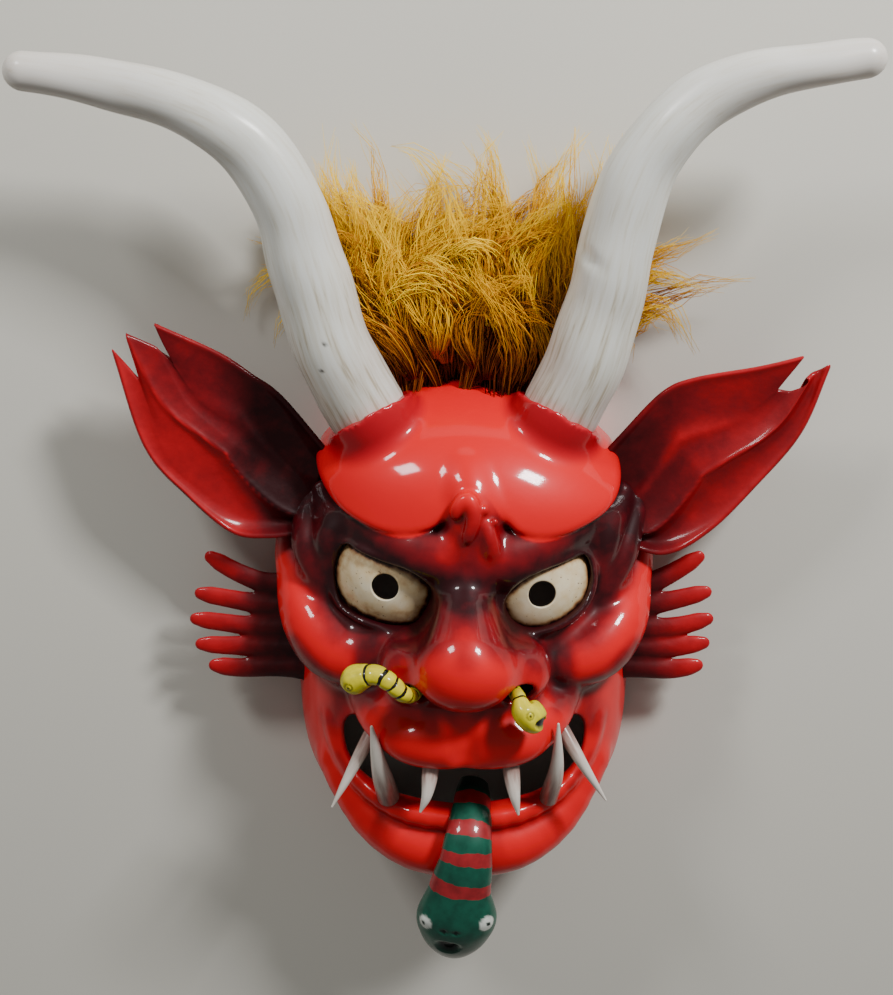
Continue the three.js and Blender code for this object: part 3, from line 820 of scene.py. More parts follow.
def build_horn_paint():
    # Satin oil paint dragged along the horn with a dry brush: off-white, with thin brown
    # and grey streaks that thicken to dirt near the foot.
    material, tree, shader = new_material(
        "satin_oil_paint_dry_brushed_white", Specular_IOR_Level=0.3, Coat_Weight=0.3,
        Coat_Roughness=0.2,
    )
    straight = add(tree, "Attribute", attribute_name="straight", out="Vector")
    share = add(tree, "Attribute", attribute_name="share", out="Fac")
    dragged = add(tree, "Mapping", {0: straight, 3: (1.0, 1.0, 0.07)})
    streak = add(tree, "TexNoise", {0: dragged, "Scale": per(3), "Detail": 4, "Roughness": 0.6})
    cloud = add(tree, "TexNoise", {0: straight, "Scale": per(45), "Detail": 3})
    foot = add(tree, "MapRange", {0: share, 1: 0.1, 2: 0.5, 3: 0.2, 4: 0.0})
    worn = add(tree, "Math", {0: cloud, 1: 0.35, 2: foot}, operation="MULTIPLY_ADD")
    mark = add(tree, "Math", {0: streak, 1: worn}, operation="ADD")
    colour = add(
        tree, "ValToRGB", {0: mark},
        stops={0.55: "#dcddd7", 0.75: "#d8d7ce", 0.9: "#cdc9bb", 1.0: "#b3a994"},
    )
    tip = add(tree, "MapRange", {0: share, 1: 0.6, 2: 1.0, 3: 0.0, 4: 0.35})
    warm = add(tree, "Mix", {0: tip, 6: colour, 7: "#c8b3aa"}, data_type="RGBA", out=2)
    # Dark dots where the pin holes are: painted shade, as no holes are cut
    pin = add(tree, "Attribute", attribute_name="pin", out="Fac")
    marked = add(tree, "Mix", {0: pin, 6: warm, 7: "#2e2620"}, data_type="RGBA", out=2)
    rough = add(tree, "MapRange", {0: mark, 1: 0.5, 2: 1.0, 3: 0.3, 4: 0.6})
    bump = add(tree, "Bump", {"Strength": 0.06, "Distance": 0.0004, "Height": streak})
    wire(tree, shader, Base_Color=marked, Roughness=rough, Normal=bump)
    return material


def build_leaf_enamel():
    # Gloss enamel over thin papier-mache, maroon and red at the tips. On the ears painted shade
    # darkens the upper panel, the dished hollows and the root to nearly black, and painted
    # highlight lightens the rim, the rib and the fold; the fins are darker over the web near the
    # head. The paper's fibres lift the shine here and there.
    material, tree, shader = new_material(
        "gloss_enamel_glazed_maroon", Specular_IOR_Level=0.12, Coat_Weight=0.3, Coat_Roughness=0.14
    )
    where = add(tree, "TexCoord", out="Object")
    dark = add(tree, "Attribute", attribute_name="dark", out="Fac")
    cloud = add(tree, "TexNoise", {0: where, "Scale": per(22), "Detail": 6, "Roughness": 0.6})
    wander = add(tree, "Math", {0: cloud, 1: 0.5}, operation="SUBTRACT")
    glaze = add(
        tree, "Math", {0: wander, 1: 0.8, 2: dark}, operation="MULTIPLY_ADD", use_clamp=True
    )
    colour = add(
        tree, "ValToRGB", {0: glaze},
        stops={0.0: "#b2141e", 0.35: "#8c1018", 0.65: "#5c0b12", 1.0: "#2a0408"},
    )
    rough = add(tree, "MapRange", {0: cloud, 3: 0.42, 4: 0.6})
    fibre = add(tree, "TexNoise", {0: where, "Scale": per(6), "Detail": 3, "Roughness": 0.5})
    bump = add(tree, "Bump", {"Strength": 0.3, "Distance": 0.0008, "Height": fibre})
    wire(tree, shader, Base_Color=colour, Roughness=rough, Normal=bump)
    return material


def build_eye_paint():
    # Chalky oil paint under aged varnish: cream, stained pink and brown towards the lids,
    # with flecks and fine crazing.
    material, tree, shader = new_material(
        "satin_oil_paint_aged_cream", IOR=1.5, Coat_Weight=0.3, Coat_Roughness=0.2
    )
    where = add(tree, "TexCoord", out="Object")
    edge = add(tree, "Attribute", attribute_name="edge", out="Fac")
    cloud = add(tree, "TexNoise", {0: where, "Scale": per(7), "Detail": 6})
    wander = add(tree, "Math", {0: cloud, 1: 0.5}, operation="SUBTRACT")
    stain = add(
        tree, "Math", {0: wander, 1: 0.9, 2: edge}, operation="MULTIPLY_ADD", use_clamp=True
    )
    colour = add(
        tree, "ValToRGB", {0: stain},
        stops={0.0: "#e6d9bc", 0.4: "#d9c296", 0.68: "#b58c5e", 0.88: "#74462c", 1.0: "#2c120c"},
    )
    speck = add(tree, "TexNoise", {0: where, "Scale": per(2.2), "Detail": 2, "Roughness": 0.4})
    fleck = add(tree, "MapRange", {0: speck, 1: 0.69, 2: 0.74, 3: 0.0, 4: 0.75})
    whole = add(tree, "Mix", {0: fleck, 6: colour, 7: "#5b3a2a"}, data_type="RGBA", out=2)
    rough = add(tree, "MapRange", {0: cloud, 3: 0.35, 4: 0.6})
    bump = add(tree, "Bump", {"Strength": 0.2, "Distance": 0.0004, "Height": cloud})
    wire(tree, shader, Base_Color=whole, Roughness=rough, Normal=bump)
    return material


def build_ringed_enamel(name, ground, band, stops_of, coat):
    """Gloss enamel with painted rings, whose places are shares of the body's length."""
    material, tree, shader = new_material(
        name, Specular_IOR_Level=0.2, Coat_Weight=coat, Coat_Roughness=0.08
    )
    straight = add(tree, "Attribute", attribute_name="straight", out="Vector")
    share = add(tree, "Attribute", attribute_name="share", out="Fac")
    shaky = add(tree, "TexNoise", {0: straight, "Scale": per(9), "Detail": 2})
    wander = add(tree, "Math", {0: shaky, 1: 0.5}, operation="SUBTRACT")
    moved = add(tree, "Math", {0: wander, 1: 0.03, 2: share}, operation="MULTIPLY_ADD")
    rings = add(tree, "ValToRGB", {0: moved}, stops=stops_of)
    rings.node.color_ramp.interpolation = "CONSTANT"
    colour = add(tree, "Mix", {0: rings, 6: ground, 7: band}, data_type="RGBA", out=2)
    mark = add(tree, "Attribute", attribute_name="mark", out="Fac")
    pale = add(tree, "Attribute", attribute_name="pale", out="Fac")
    eyed = add(tree, "Mix", {0: pale, 6: colour, 7: "#dfe2da"}, data_type="RGBA", out=2)
    marked = add(tree, "Mix", {0: mark, 6: eyed, 7: "#0a0e0b"}, data_type="RGBA", out=2)
    cloud = add(tree, "TexNoise", {0: straight, "Scale": per(8), "Detail": 4})
    worn = add(tree, "ValToRGB", {0: cloud}, stops={0.3: "#cfcfcf", 0.65: "#ffffff"})
    whole = add(
        tree, "Mix", {0: 1.0, 6: marked, 7: worn}, data_type="RGBA", blend_type="MULTIPLY", out=2
    )
    rough = add(tree, "MapRange", {0: cloud, 3: 0.35, 4: 0.5})
    bump = add(tree, "Bump", {"Strength": 0.2, "Distance": 0.0004, "Height": cloud})
    wire(tree, shader, Base_Color=whole, Roughness=rough, Normal=bump)
    return material


def build_fang_enamel():
    # Gloss enamel over wood-hard paper: ivory, rubbed with brown and pink at the gum.
    material, tree, shader = new_material(
        "gloss_enamel_rubbed_ivory", IOR=1.5, Roughness=0.32, Coat_Weight=0.4, Coat_Roughness=0.12
    )
    straight = add(tree, "Attribute", attribute_name="straight", out="Vector")
    share = add(tree, "Attribute", attribute_name="share", out="Fac")
    dragged = add(tree, "Mapping", {0: straight, 3: (1.0, 1.0, 0.15)})
    streak = add(tree, "TexNoise", {0: dragged, "Scale": per(2.5), "Detail": 4})
    gum = add(tree, "MapRange", {0: share, 1: 0.15, 2: 0.62, 3: 0.75, 4: 0.0})
    wander = add(tree, "Math", {0: streak, 1: 0.5}, operation="SUBTRACT")
    stain = add(tree, "Math", {0: wander, 1: 0.8, 2: gum}, operation="MULTIPLY_ADD", use_clamp=True)
    colour = add(
        tree, "ValToRGB", {0: stain},
        stops={0.0: "#ddd5ca", 0.3: "#cbbbb0", 0.6: "#a3867c", 1.0: "#5d2722"},
    )
    bump = add(tree, "Bump", {"Strength": 0.15, "Distance": 0.0003, "Height": streak})
    wire(tree, shader, Base_Color=colour, Normal=bump)
    return material


def build_hair_fibre():
    # Dyed plant fibre, combed out by hand: dull golden strands, darkened towards the root as
    # painted shade where they crowd together, and paler towards the tips.
    material, tree, shader = new_material(
        "combed_fibre_dyed_gold", Specular_IOR_Level=0.15, Roughness=0.55
    )
    share = add(tree, "Attribute", attribute_name="share", out="Fac")
    tint = add(tree, "Attribute", attribute_name="tint", out="Fac")
    root_shade_and_tint = add(tree, "Math", {0: tint, 1: 0.45, 2: share}, operation="MULTIPLY_ADD")
    colour = add(
        tree, "ValToRGB", {0: root_shade_and_tint},
        stops={0.0: "#280702", 0.18: "#6a2c06", 0.4: "#b46c0a", 0.62: "#e2a40e", 0.95: "#ffd422"},
    )
    wire(tree, shader, Base_Color=colour)
    return material


# Pieces


# The share of the inside's faces that stay, and how far out a crease is felt for the painted
# shade that darkens creases
INSIDE_THINNED = 0.62
CREASE_REACH = 5


def make_face():
    clay, hollow = face_clay()
    points, faces = clay.skin()
    points[:, 2] = np.maximum(points[:, 2], 0)
    # How far each point lies down in a crease: painted shade darkens the colour there
    slope = clay.slope(points, 2.0)
    slope /= np.linalg.norm(slope, axis=1, keepdims=True) + 1e-6
    pit = np.clip(1 - clay.sample(points + CREASE_REACH * slope) / CREASE_REACH, 0, 1)
    mesh = mesh_from("face_shell_painted", placed(points), faces)
    x, y, z = points.T
    from_collar = Collar().roll.distance(np.abs(x), y, z)
    # The inside is painted dark brown, and the nostril holes with their rims take the same
    # near-black as painted shade
    nostril = NOSTRIL_HOLE.distance(np.abs(x), y, z)
    behind = smoothstep(2.2, 0.6, np.abs(hollow.sample(points)))
    paint(
        mesh, glaze=glaze_on_face(x, y), crease=smoothstep(0.15, 0.8, pit),
        inner=np.maximum(behind, smoothstep(5, 2, nostril)),
        collar=0.85 * smoothstep(8, -1, from_collar) * smoothstep(92, 108, y),
    )
    face = piece(mesh, build_face_enamel(), "face_shell")
    # The plain inside needs far fewer faces than the modelled outside
    group = face.vertex_groups.new(name="inside")
    group.add(np.flatnonzero(behind > 0.9).tolist(), 1.0, "REPLACE")
    thinned = face.modifiers.new("plain_inside", "DECIMATE")
    thinned.ratio = INSIDE_THINNED
    thinned.vertex_group = group.name


def make_eyes():
    material = build_eye_paint()
    for side, name in ((-1, "left"), (1, "right")):
        profile = []
        for radius, first, last in (
            (EYE_RADIUS, PEEP_ANGLE, EYE_EDGE_ANGLE),
            (EYE_RADIUS - EYE_WALL, EYE_EDGE_ANGLE, PEEP_ANGLE + PEEP_BEVEL),
        ):
            for angle in np.radians(np.linspace(first, last, 40)):
                profile.append([radius * math.sin(angle), 0, radius * math.cos(angle)])
        bm = bmesh.new()
        ring = [bm.verts.new(p) for p in profile]
        edges = [bm.edges.new((a, b)) for a, b in zip(ring, ring[1:] + ring[:1])]
        bmesh.ops.spin(
            bm, geom=ring + edges, cent=(0, 0, 0), axis=(0, 0, 1), angle=math.tau, steps=72,
            use_merge=True, use_duplicate=False,
        )
        bmesh.ops.remove_doubles(bm, verts=bm.verts, dist=1e-3)
        bmesh.ops.recalc_face_normals(bm, faces=bm.faces)
        mesh = finished(bm, f"eye_{name}_painted")
        turn = Matrix.Rotation(math.radians(EYE_TURN_OUT[side] * side), 3, "Y")
        points = places(mesh) @ np.array(turn).T + eye_centre(side)
        put(mesh, placed(points))
        paint(mesh, edge=lid_nearness(points, side))
        piece(mesh, material, f"eye_{name}")


def lid_nearness(points, side):
    """How near the lids a place on the eye lies, from 0 in the open to 1."""
    inside = -from_eye_edge(side, points[:, 0], points[:, 1])
    stain = EYE_STAIN[side] * smoothstep(26, 2, inside)
    return np.clip(0.7 * smoothstep(4.5, -1, inside) + stain, 0, 1)


HORN_RADII = [
    [0, 27.3], [0.17, 26.5], [0.3, 25.5], [0.41, 24], [0.52, 22.5],
    [0.66, 19.5], [0.76, 17], [0.86, 14.5], [0.94, 13], [1, 12],
]
HORNS = {
    "left": [
        [-63, 127, 50], [-69, 139, 57], [-87, 178, 66], [-101, 229, 71], [-112, 269, 76],
        [-129, 302, 81], [-157, 327, 86], [-198, 343, 90], [-250, 354, 95], [-286, 358, 98],
    ],
    "right": [
        [62, 125, 51], [66, 134, 57], [79, 167, 66], [90, 207, 70], [96, 242, 75],
        [103, 274, 79], [117, 306, 83], [138, 331, 87], [167, 349, 92], [212, 360, 96],
        [259, 366, 98],
    ],
}

# How many faces run round and along each horn, and where the waves of its surface begin
HORN_FACES = {"left": (110, 200), "right": (64, 150)}
HORN_WAVE = {"left": 1.3, "right": 4.1}
# Two pin holes in the left horn, only painted as dark dots of painted shade, and a crease
# pressed into the right one's inner side
PIN_HOLES = [[[-90.9, 187, 1.3], [-90.8, 187, 1.3]], [[-92.9, 168.7, 1.3], [-92.8, 168.7, 1.3]]]
CREASE_DEPTH = {"left": 0, "right": 2.2}
CREASE_SHARE = 0.34
CREASE_TURN = -0.7


def make_horns():
    material = build_horn_paint()
    for name, line in HORNS.items():
        wave, crease = HORN_WAVE[name], CREASE_DEPTH[name]

        def lift(share, turn):
            swell = 0.5 * np.sin(23 * share + 2 * turn + wave) + 0.35 * np.sin(41 * share - turn)
            swell = swell * smoothstep(0, 0.1, share) * smoothstep(1, 0.9, share)
            along = (share - CREASE_SHARE - 0.02 * (turn - CREASE_TURN)) / 0.011
            return swell - crease * np.exp(-along ** 2 - ((turn - CREASE_TURN) / 0.45) ** 2)

        mesh = Body(line, HORN_RADII).mesh(f"horn_{name}_painted", *HORN_FACES[name], lift)
        fitted(mesh, f"horn_{name}")
        x, y, z = on_mask(mesh)
        # The pin holes are dark dots of painted shade on the paint
        paint(mesh, pin=drawn(PIN_HOLES, x, y, 0.6) * (z > 60))
        piece(mesh, material, f"horn_{name}")


EAR_WALL = 3.6
EAR_HEIGHT = 50
EARS = {
    "left": {
        "upper": [[-94, 104], [-125, 144], [-144, 159], [-162, 172], [-185, 184], [-206, 194]],
        "lower": [[-108, 50], [-136, 47], [-160, 51], [-189, 77], [-216, 112], [-234, 179]],
        "tips": [
            [-234, 179], [-218, 156], [-226, 189], [-205, 178], [-195, 166], [-201, 180],
            [-206, 194],
        ],
        "rib": ([0, 0.15, 0.5, 0.8, 1], [0.15, 0.22, 0.42, 0.37, 0.333]),
        "glaze": {"below": 0.12, "above": 0.45, "root": 0.75, "fold": 0.0},
    },
    "right": {
        "upper": [[94, 100], [108, 118], [133, 146], [154, 156], [196, 164], [226, 172]],
        "lower": [[108, 44], [138, 35], [168, 51], [198, 83], [226, 121], [242, 168]],
        "tips": [
            [242, 168], [234, 160], [226, 152], [218, 148], [210, 148], [218, 160], [226, 172],
        ],
        "rib": ([0, 0.2, 0.5, 0.8, 1], [0.1, 0.2, 0.38, 0.33, 0.25]),
        "glaze": {"below": 0.3, "above": 0.34, "root": 0.4, "fold": 0.35},
    },
}


def ear_place(shape, u, v):
    """A leaf between its upper edge, lower edge, root and torn tips."""
    tips = np.array(shape["tips"], float)
    tip = on_line(tips, v)
    upper, lower = (on_line(smooth_line(shape[edge], 8), u) for edge in ("upper", "lower"))
    base_low, base_high = np.array(shape["lower"][0]), np.array(shape["upper"][0])
    u, v = u[:, None], v[:, None]
    base = base_low + (base_high - base_low) * v
    end = tips[0] + (tips[-1] - tips[0]) * v
    sides = lower + (upper - lower) * v
    return sides + (base + (tip - base) * u) - (base + (end - base) * u)


def make_ears():
    material = build_leaf_enamel()
    for name, shape in EARS.items():
        bm = bmesh.new()
        bmesh.ops.create_grid(bm, x_segments=56, y_segments=50, size=0.5)
        flat = np.array([v.co for v in bm.verts])
        u, v = flat[:, 0] + 0.5, flat[:, 1] + 0.5
        middle = ear_place(shape, u, v)
        rib = np.interp(u, *shape["rib"])
        panel = np.where(v < rib, v / rib, (v - rib) / (1 - rib))
        dish = np.sin(math.pi * panel) * np.where(v < rib, 0.7, 1)
        rim = np.exp(-(np.minimum(v, 1 - v) / 0.03) ** 2)
        ridge = np.exp(-((v - rib) / 0.014) ** 2)
        fold = np.exp(-((v - rib - 0.3) / 0.05) ** 2) * np.sin(math.pi * np.clip(u * 1.2, 0, 1))
        wave = np.sin(9 * u + 5 * v) + np.sin(5 * u - 11 * v)
        height = EAR_HEIGHT + 9 * u - 12 * dish * (1 - 0.6 * u) + 0.7 * wave
        height += 1.6 * rim * (1 - 0.5 * u) + 1.3 * ridge * (1 - 0.4 * u) + 1.6 * fold
        for vertex, (x, y), z in zip(bm.verts, middle, height):
            vertex.co = placed([x, y, z])
        if name == "right":
            bmesh.ops.reverse_faces(bm, faces=bm.faces)
        bmesh.ops.recalc_face_normals(bm, faces=bm.faces)
        if sum(face.normal.z for face in bm.faces) < 0:
            bmesh.ops.reverse_faces(bm, faces=bm.faces)
        bmesh.ops.solidify(bm, geom=bm.faces, thickness=EAR_WALL / 1000)
        mesh = finished(bm, f"ear_{name}_painted")
        # The ear's own maroon, with painted shade on the upper panel, in the dished hollows and
        # towards the root, and painted highlight lightening the rim, the rib and the fold
        glaze = shape["glaze"]
        dark = np.where(v < rib, glaze["below"], glaze["above"]) + 0.12 * dish
        held_back = np.where(v < rib, smoothstep(0.5, 0.1, u), 1)
        dark += glaze["root"] * smoothstep(0.75, 0.1, u) * held_back
        dark -= glaze["fold"] * fold + 0.12 * rim + 0.15 * ridge
        back = len(mesh.vertices) // len(u)
        paint(mesh, dark=np.clip(np.tile(dark, back), 0, 1))
        ear = piece(mesh, material, f"ear_{name}")
        smooth = ear.modifiers.new("rounded_rim", "SUBSURF")
        smooth.levels = smooth.render_levels = 1


# Each flattened finger of a fin, from its root at the cheek to its tip
FIN_FINGERS = {
    "left": [
        [[-116, 4], [-140, 6], [-160, 14], [-178, 25]],
        [[-116, -10], [-142, -10], [-165, -6], [-186, -2]],
        [[-116, -26], [-142, -27], [-168, -24], [-190, -21]],
        [[-114, -42], [-142, -42], [-166, -41], [-187, -40]],
        [[-112, -56], [-138, -57], [-160, -58], [-178, -56]],
    ],
    "right": [
        [[116, 2], [132, 6], [148, 14], [165, 25]],
        [[116, -12], [134, -10], [152, -6], [171, -1]],
        [[116, -27], [134, -28], [154, -26], [173, -21]],
        [[114, -42], [134, -43], [152, -42], [171, -39]],
        [[112, -56], [132, -58], [150, -59], [167, -56]],
    ],
}
FIN_WEB_REACH = {"left": 148, "right": 134}
# The fingers' radii at root and tip, the radius of the ridge on each, and the grid: its step
# and its ends outwards from the head
FIN_RADII = (6.4, 4.4)
FIN_RIDGE = 1.3
FIN_STEP = 1.3
FIN_SPAN = [104, 198]
FIN_HEIGHT = 32.0
FIN_FLATNESS = 0.5


def make_fins():
    material = build_leaf_enamel()
    level = FIN_HEIGHT / FIN_FLATNESS
    for name, fingers in FIN_FINGERS.items():
        side = -1 if name == "left" else 1
        web = FIN_WEB_REACH[name]
        spans = [sorted(side * end for end in FIN_SPAN), (-74, 40), (level - 12, level + 16)]
        clay = Clay([np.arange(*span, FIN_STEP) for span in spans])
        clay.add(Ball([100 * side, -24, level], [web - 100, 46, 4]), 2)
        for finger in fingers:
            radii = np.linspace(*FIN_RADII, len(finger))
            ridge = [[x, y, level + r, FIN_RIDGE] for (x, y), r in zip(finger[:-1], radii)]
            clay.add(Roll(*[[x, y, level, r] for (x, y), r in zip(finger, radii)]), 4)
            clay.add(Roll(*ridge), 3)
        points, faces = clay.skin(2)
        points[:, 2] *= FIN_FLATNESS
        dark = 0.05 + 0.9 * smoothstep(web + 34, web - 22, side * points[:, 0])
        mesh = mesh_from(f"cheek_fin_{name}_painted", placed(points), faces)
        paint(mesh, dark=dark)
        piece(mesh, material, f"cheek_fin_{name}")


# The snakes' strokes are lines of (x, y, radius) seen from the front: the black drawing and
# what is pressed in along it
NOSE_SNAKES = {
    "left": {
        "points": [
            [-29, -32, 112], [-33, -36, 136], [-40, -31, 150], [-49, -21.5, 153],
            [-58, -17.5, 151], [-68, -21, 147], [-79, -28, 142],
        ],
        "radii": [
            [0, 4.5], [0.3, 5.2], [0.45, 6.6], [0.6, 7], [0.72, 7.4], [0.8, 9], [0.88, 11],
            [0.95, 10.5], [1, 8.5],
        ],
        "up": [0, 1, 0.2],
        "rings": [0.34, 0.42, 0.5, 0.58, 0.66, 0.76],
        "ring_round_eye": [-75, -25],
        "mouth": [[-90, -22, 0.7], [-82, -28, 0.7], [-72, -36, 0.7]],
    },
    "right": {
        "points": [
            [29, -33, 112], [32, -35, 134], [34.5, -36, 145], [37, -42, 150], [43, -47, 149],
            [52, -50, 144],
        ],
        "radii": [
            [0, 4.5], [0.4, 5.2], [0.56, 5.8], [0.64, 7.5], [0.74, 10.6], [0.88, 11], [1, 8],
        ],
        "up": [1, 0, 0],
        "rings": [0.48, 0.58],
        "ring_round_eye": [41.5, -42.5],
        "mouth": [[47, -49, 1.2], [53, -50.5, 1.8], [62, -52, 2.2]],
    },
}
RING_HALF = 0.009
EYE_DOT = 0.9
EYE_RING = [1.9, 2.7]


def ring_stops(rings):
    """Steps of a ramp that is white on rings, from share to share, and black between them."""
    stops = {0.0: "#000000"}
    for start, end in rings:
        stops |= {start: "#ffffff", end: "#000000"}
    return stops


def pressed_in(mesh, body, depth):
    """The skin pushed towards the body's middle line by a depth at each point."""
    points = np.stack(on_mask(mesh), 1)
    inward = body.at(share_of(mesh)) - points
    inward /= np.linalg.norm(inward, axis=1, keepdims=True) + 1e-6
    put(mesh, placed(points + inward * depth[:, None]))


def make_nose_snakes():
    for name, snake in NOSE_SNAKES.items():
        rings = [(place - RING_HALF, place + RING_HALF) for place in snake["rings"]]
        material = build_ringed_enamel(
            f"gloss_enamel_yellow_ringed_{name}", "#e2d424", "#16140c", ring_stops(rings), 0.5,
        )
        body = Body(snake["points"], snake["radii"], up=snake["up"], flat=0.85)

        def lift(share, _turn):
            groove = sum(np.exp(-((share - place) / 0.013) ** 2) for place in snake["rings"])
            return -0.7 * groove

        mesh = body.mesh(f"nose_snake_{name}_painted", 64, 160, lift)
        x, y, z = on_mask(mesh)
        shares = share_of(mesh)
        front = smoothstep(-1, 1, z - body.at(shares)[:, 2]) * (shares > 0.7)
        from_eye = np.hypot(x - snake["ring_round_eye"][0], y - snake["ring_round_eye"][1])
        ring = smoothstep(0.5, 0.1, np.abs(from_eye - np.mean(EYE_RING)) - 0.2)
        mouth = drawn([snake["mouth"]], x, y, 0.5)
        dot = smoothstep(EYE_DOT + 0.3, EYE_DOT - 0.3, from_eye)
        mark = front * np.maximum.reduce([0.55 * ring, mouth, dot])
        depth = front * (0.5 * ring + 1.2 * mouth * (1 if name == "left" else 2.5))
        pressed_in(mesh, body, depth)
        paint(mesh, mark=mark, pale=0 * mark)
        piece(mesh, material, f"nose_snake_{name}")


TONGUE = {
    "points": [
        [7, -127, 74], [6, -131, 92], [4.5, -138, 108], [2.5, -150, 119], [0.5, -166, 122],
        [-3, -186, 119], [-5, -207, 114], [-6.5, -229, 106], [-7.5, -250, 97],
    ],
    "radii": [
        [0, 10], [0.1, 12.5], [0.18, 13.5], [0.26, 15], [0.34, 16.6], [0.42, 18.2], [0.5, 20],
        [0.58, 22], [0.64, 25], [0.7, 27.6], [0.76, 27.4], [0.82, 24.8], [0.88, 21], [0.94, 16],
        [1, 10],
    ],
}
TONGUE_BANDS = [(0.12, 0.19), (0.26, 0.32), (0.375, 0.42), (0.5, 0.56)]
# The tongue snake's head, seen from the front: (x, y, radius)
SNAKE_EYES = [[-26.8, -208.5, 5.2], [15.3, -209, 6]]
SNAKE_NOSTRILS = [[-14.3, -214, 1.8], [-5.7, -215, 1.8]]
SNAKE_MOUTH = [[-16.5, -227, 1.4], [-12, -231, 2.8], [-7, -230, 1.6]]
MUZZLE_START = 0.88


def make_tongue():
    material = build_ringed_enamel(
        "gloss_enamel_green_banded", "#0d5643", "#a3242a", ring_stops(TONGUE_BANDS), 0.6
    )
    body = Body(TONGUE["points"], TONGUE["radii"], flat=0.6)
    mesh = body.mesh("tongue_snake_painted", 100, 200)
    x, y, z = on_mask(mesh)
    shares = share_of(mesh)
    front = smoothstep(-3, -1, z - body.at(shares)[:, 2])
    bulge, white, pupil = np.zeros((3, len(x)))
    for eye_x, eye_y, radius in SNAKE_EYES:
        own = np.argmin(np.hypot(x - eye_x, y - eye_y) + 1e3 * (1 - front))
        off = np.linalg.norm([x - eye_x, y - eye_y, z - z[own]], axis=0)
        bulge = np.maximum(bulge, 1.6 * smoothstep(radius * 1.5, 0, off))
        white = np.maximum(white, smoothstep(radius + 0.4, radius - 0.4, off))
        pupil = np.maximum(pupil, smoothstep(1.7, 1.0, off))
    holes = np.maximum.reduce([
        smoothstep(radius + 0.5, radius - 0.5, np.hypot(x - a, y - b))
        for a, b, radius in SNAKE_NOSTRILS
    ])
    mouth = drawn([SNAKE_MOUTH], x, y, 0.8)
    pressed_in(mesh, body, front * (1.6 * holes + 4 * mouth - bulge))
    muzzle = 0.75 * smoothstep(MUZZLE_START - 0.07, MUZZLE_START + 0.05, shares)
    drawn_black = front * np.maximum.reduce([pupil, holes, mouth])
    # The root end, hidden in the mouth, darkened as painted shade
    shade_in_mouth = 0.75 * smoothstep(0.13, 0.08, shares)
    paint(
        mesh, mark=np.maximum.reduce([drawn_black, shade_in_mouth, muzzle * (1 - white)]),
        pale=front * white * (1 - pupil),
    )
    piece(mesh, material, "tongue_snake")


FANGS = {
    "fang_upper_outer_left": ([[-60, -72, 100], [-76, -100, 114], [-90, -126, 118]], 5),
    "fang_upper_outer_right": ([[62, -68, 100], [79, -95, 114], [96, -122, 116]], 5),
    "fang_upper_inner_left": ([[-22, -88, 120], [-25, -110, 129], [-30, -124, 130]], 6),
    "fang_upper_inner_right": ([[30, -88, 120], [33, -110, 129], [36, -126, 130]], 6),
    "fang_lower_left": ([[-52, -130, 94], [-57, -98, 116], [-62, -63, 126]], 7.7),
    "fang_lower_right": ([[58, -131, 94], [62, -98, 115], [62, -62, 124]], 6.4),
}
FANG_SHAPE = np.array([[0, 1], [0.35, 0.9], [0.7, 0.56], [0.93, 0.22], [1, 0.12]])


def make_fangs():
    material = build_fang_enamel()
    for name, (points, radius) in FANGS.items():
        mesh = Body(points, FANG_SHAPE * [1, radius]).mesh(f"{name}_painted", 32, 60)
        piece(mesh, material, name)


# Hair

HAIR_SEED = 7
# In each of the three pieces: the tufts, the strands, and the steps along both
TUFTS = 58
STRANDS = 2240
TUFT_STEPS = 45
STRAND_STEPS = 12
# A tuft's line runs on a little past its reach
TUFT_END = 1.1
# The crest's root behind the forehead, and the ragged edge that its tufts reach
HAIR_ROOTS = [[-62, 118], [-36, 121], [0, 123], [36, 121], [58, 117]]
HAIR_TIPS = [
    [-100, 270], [-88, 281], [-68, 289], [-50, 293], [-14, 284], [3, 295], [30, 295],
    [66, 290], [84, 285], [100, 264],
]
# Tufts that come out sideways from behind the horns
SIDE_TUFTS = [
    [[-50, 119, 20], [-74, 180, 22], [-94, 224, 24], [-124, 240, 26], [-164, 244, 27]],
    [[50, 119, 18], [84, 180, 22], [110, 224, 26], [134, 241, 30], [174, 258, 30]],
    [[50, 119, 24], [86, 176, 28], [110, 214, 32], [134, 223, 36], [173, 208, 34]],
    [[52, 116, 22], [90, 168, 26], [112, 198, 32], [134, 197, 36], [154, 156, 34]],
]


def strands(paths, radius, shares, tints, name):
    """Thin three-sided strands along paths (strand, step, xyz), tapering to their tips."""
    count, steps, _ = paths.shape
    way = np.gradient(paths, axis=1)
    way /= np.linalg.norm(way, axis=2, keepdims=True)
    across = np.cross(way, [0.0, 0, 1])
    across /= np.linalg.norm(across, axis=2, keepdims=True) + 1e-9
    over = np.cross(across, way)
    width = radius[:, None] * np.sqrt(np.clip(1 - np.linspace(0, 1, steps) ** 3, 0.04, 1))
    turns = np.arange(3) * math.tau / 3
    ring = (
        paths[:, :, None]
        + width[:, :, None, None] * np.cos(turns)[:, None] * across[:, :, None]
        + width[:, :, None, None] * np.sin(turns)[:, None] * over[:, :, None]
    )
    points = ring.reshape(-1, 3)
    index = np.arange(count * steps * 3).reshape(count, steps, 3)
    near, far = index[:, :-1], index[:, 1:]
    walls = np.stack([near, np.roll(near, -1, 2), np.roll(far, -1, 2), far], -1).reshape(-1, 4)
    mesh = bpy.data.meshes.new(name)
    ends = np.concatenate([index[:, 0, ::-1], index[:, -1]])
    mesh.from_pydata(placed(points).tolist(), [], walls.tolist() + ends.tolist())
    paint(
        mesh, share=np.repeat(shares.ravel(), 3),
        tint=np.broadcast_to(tints[:, None, None], index.shape).ravel(),
    )
    return mesh


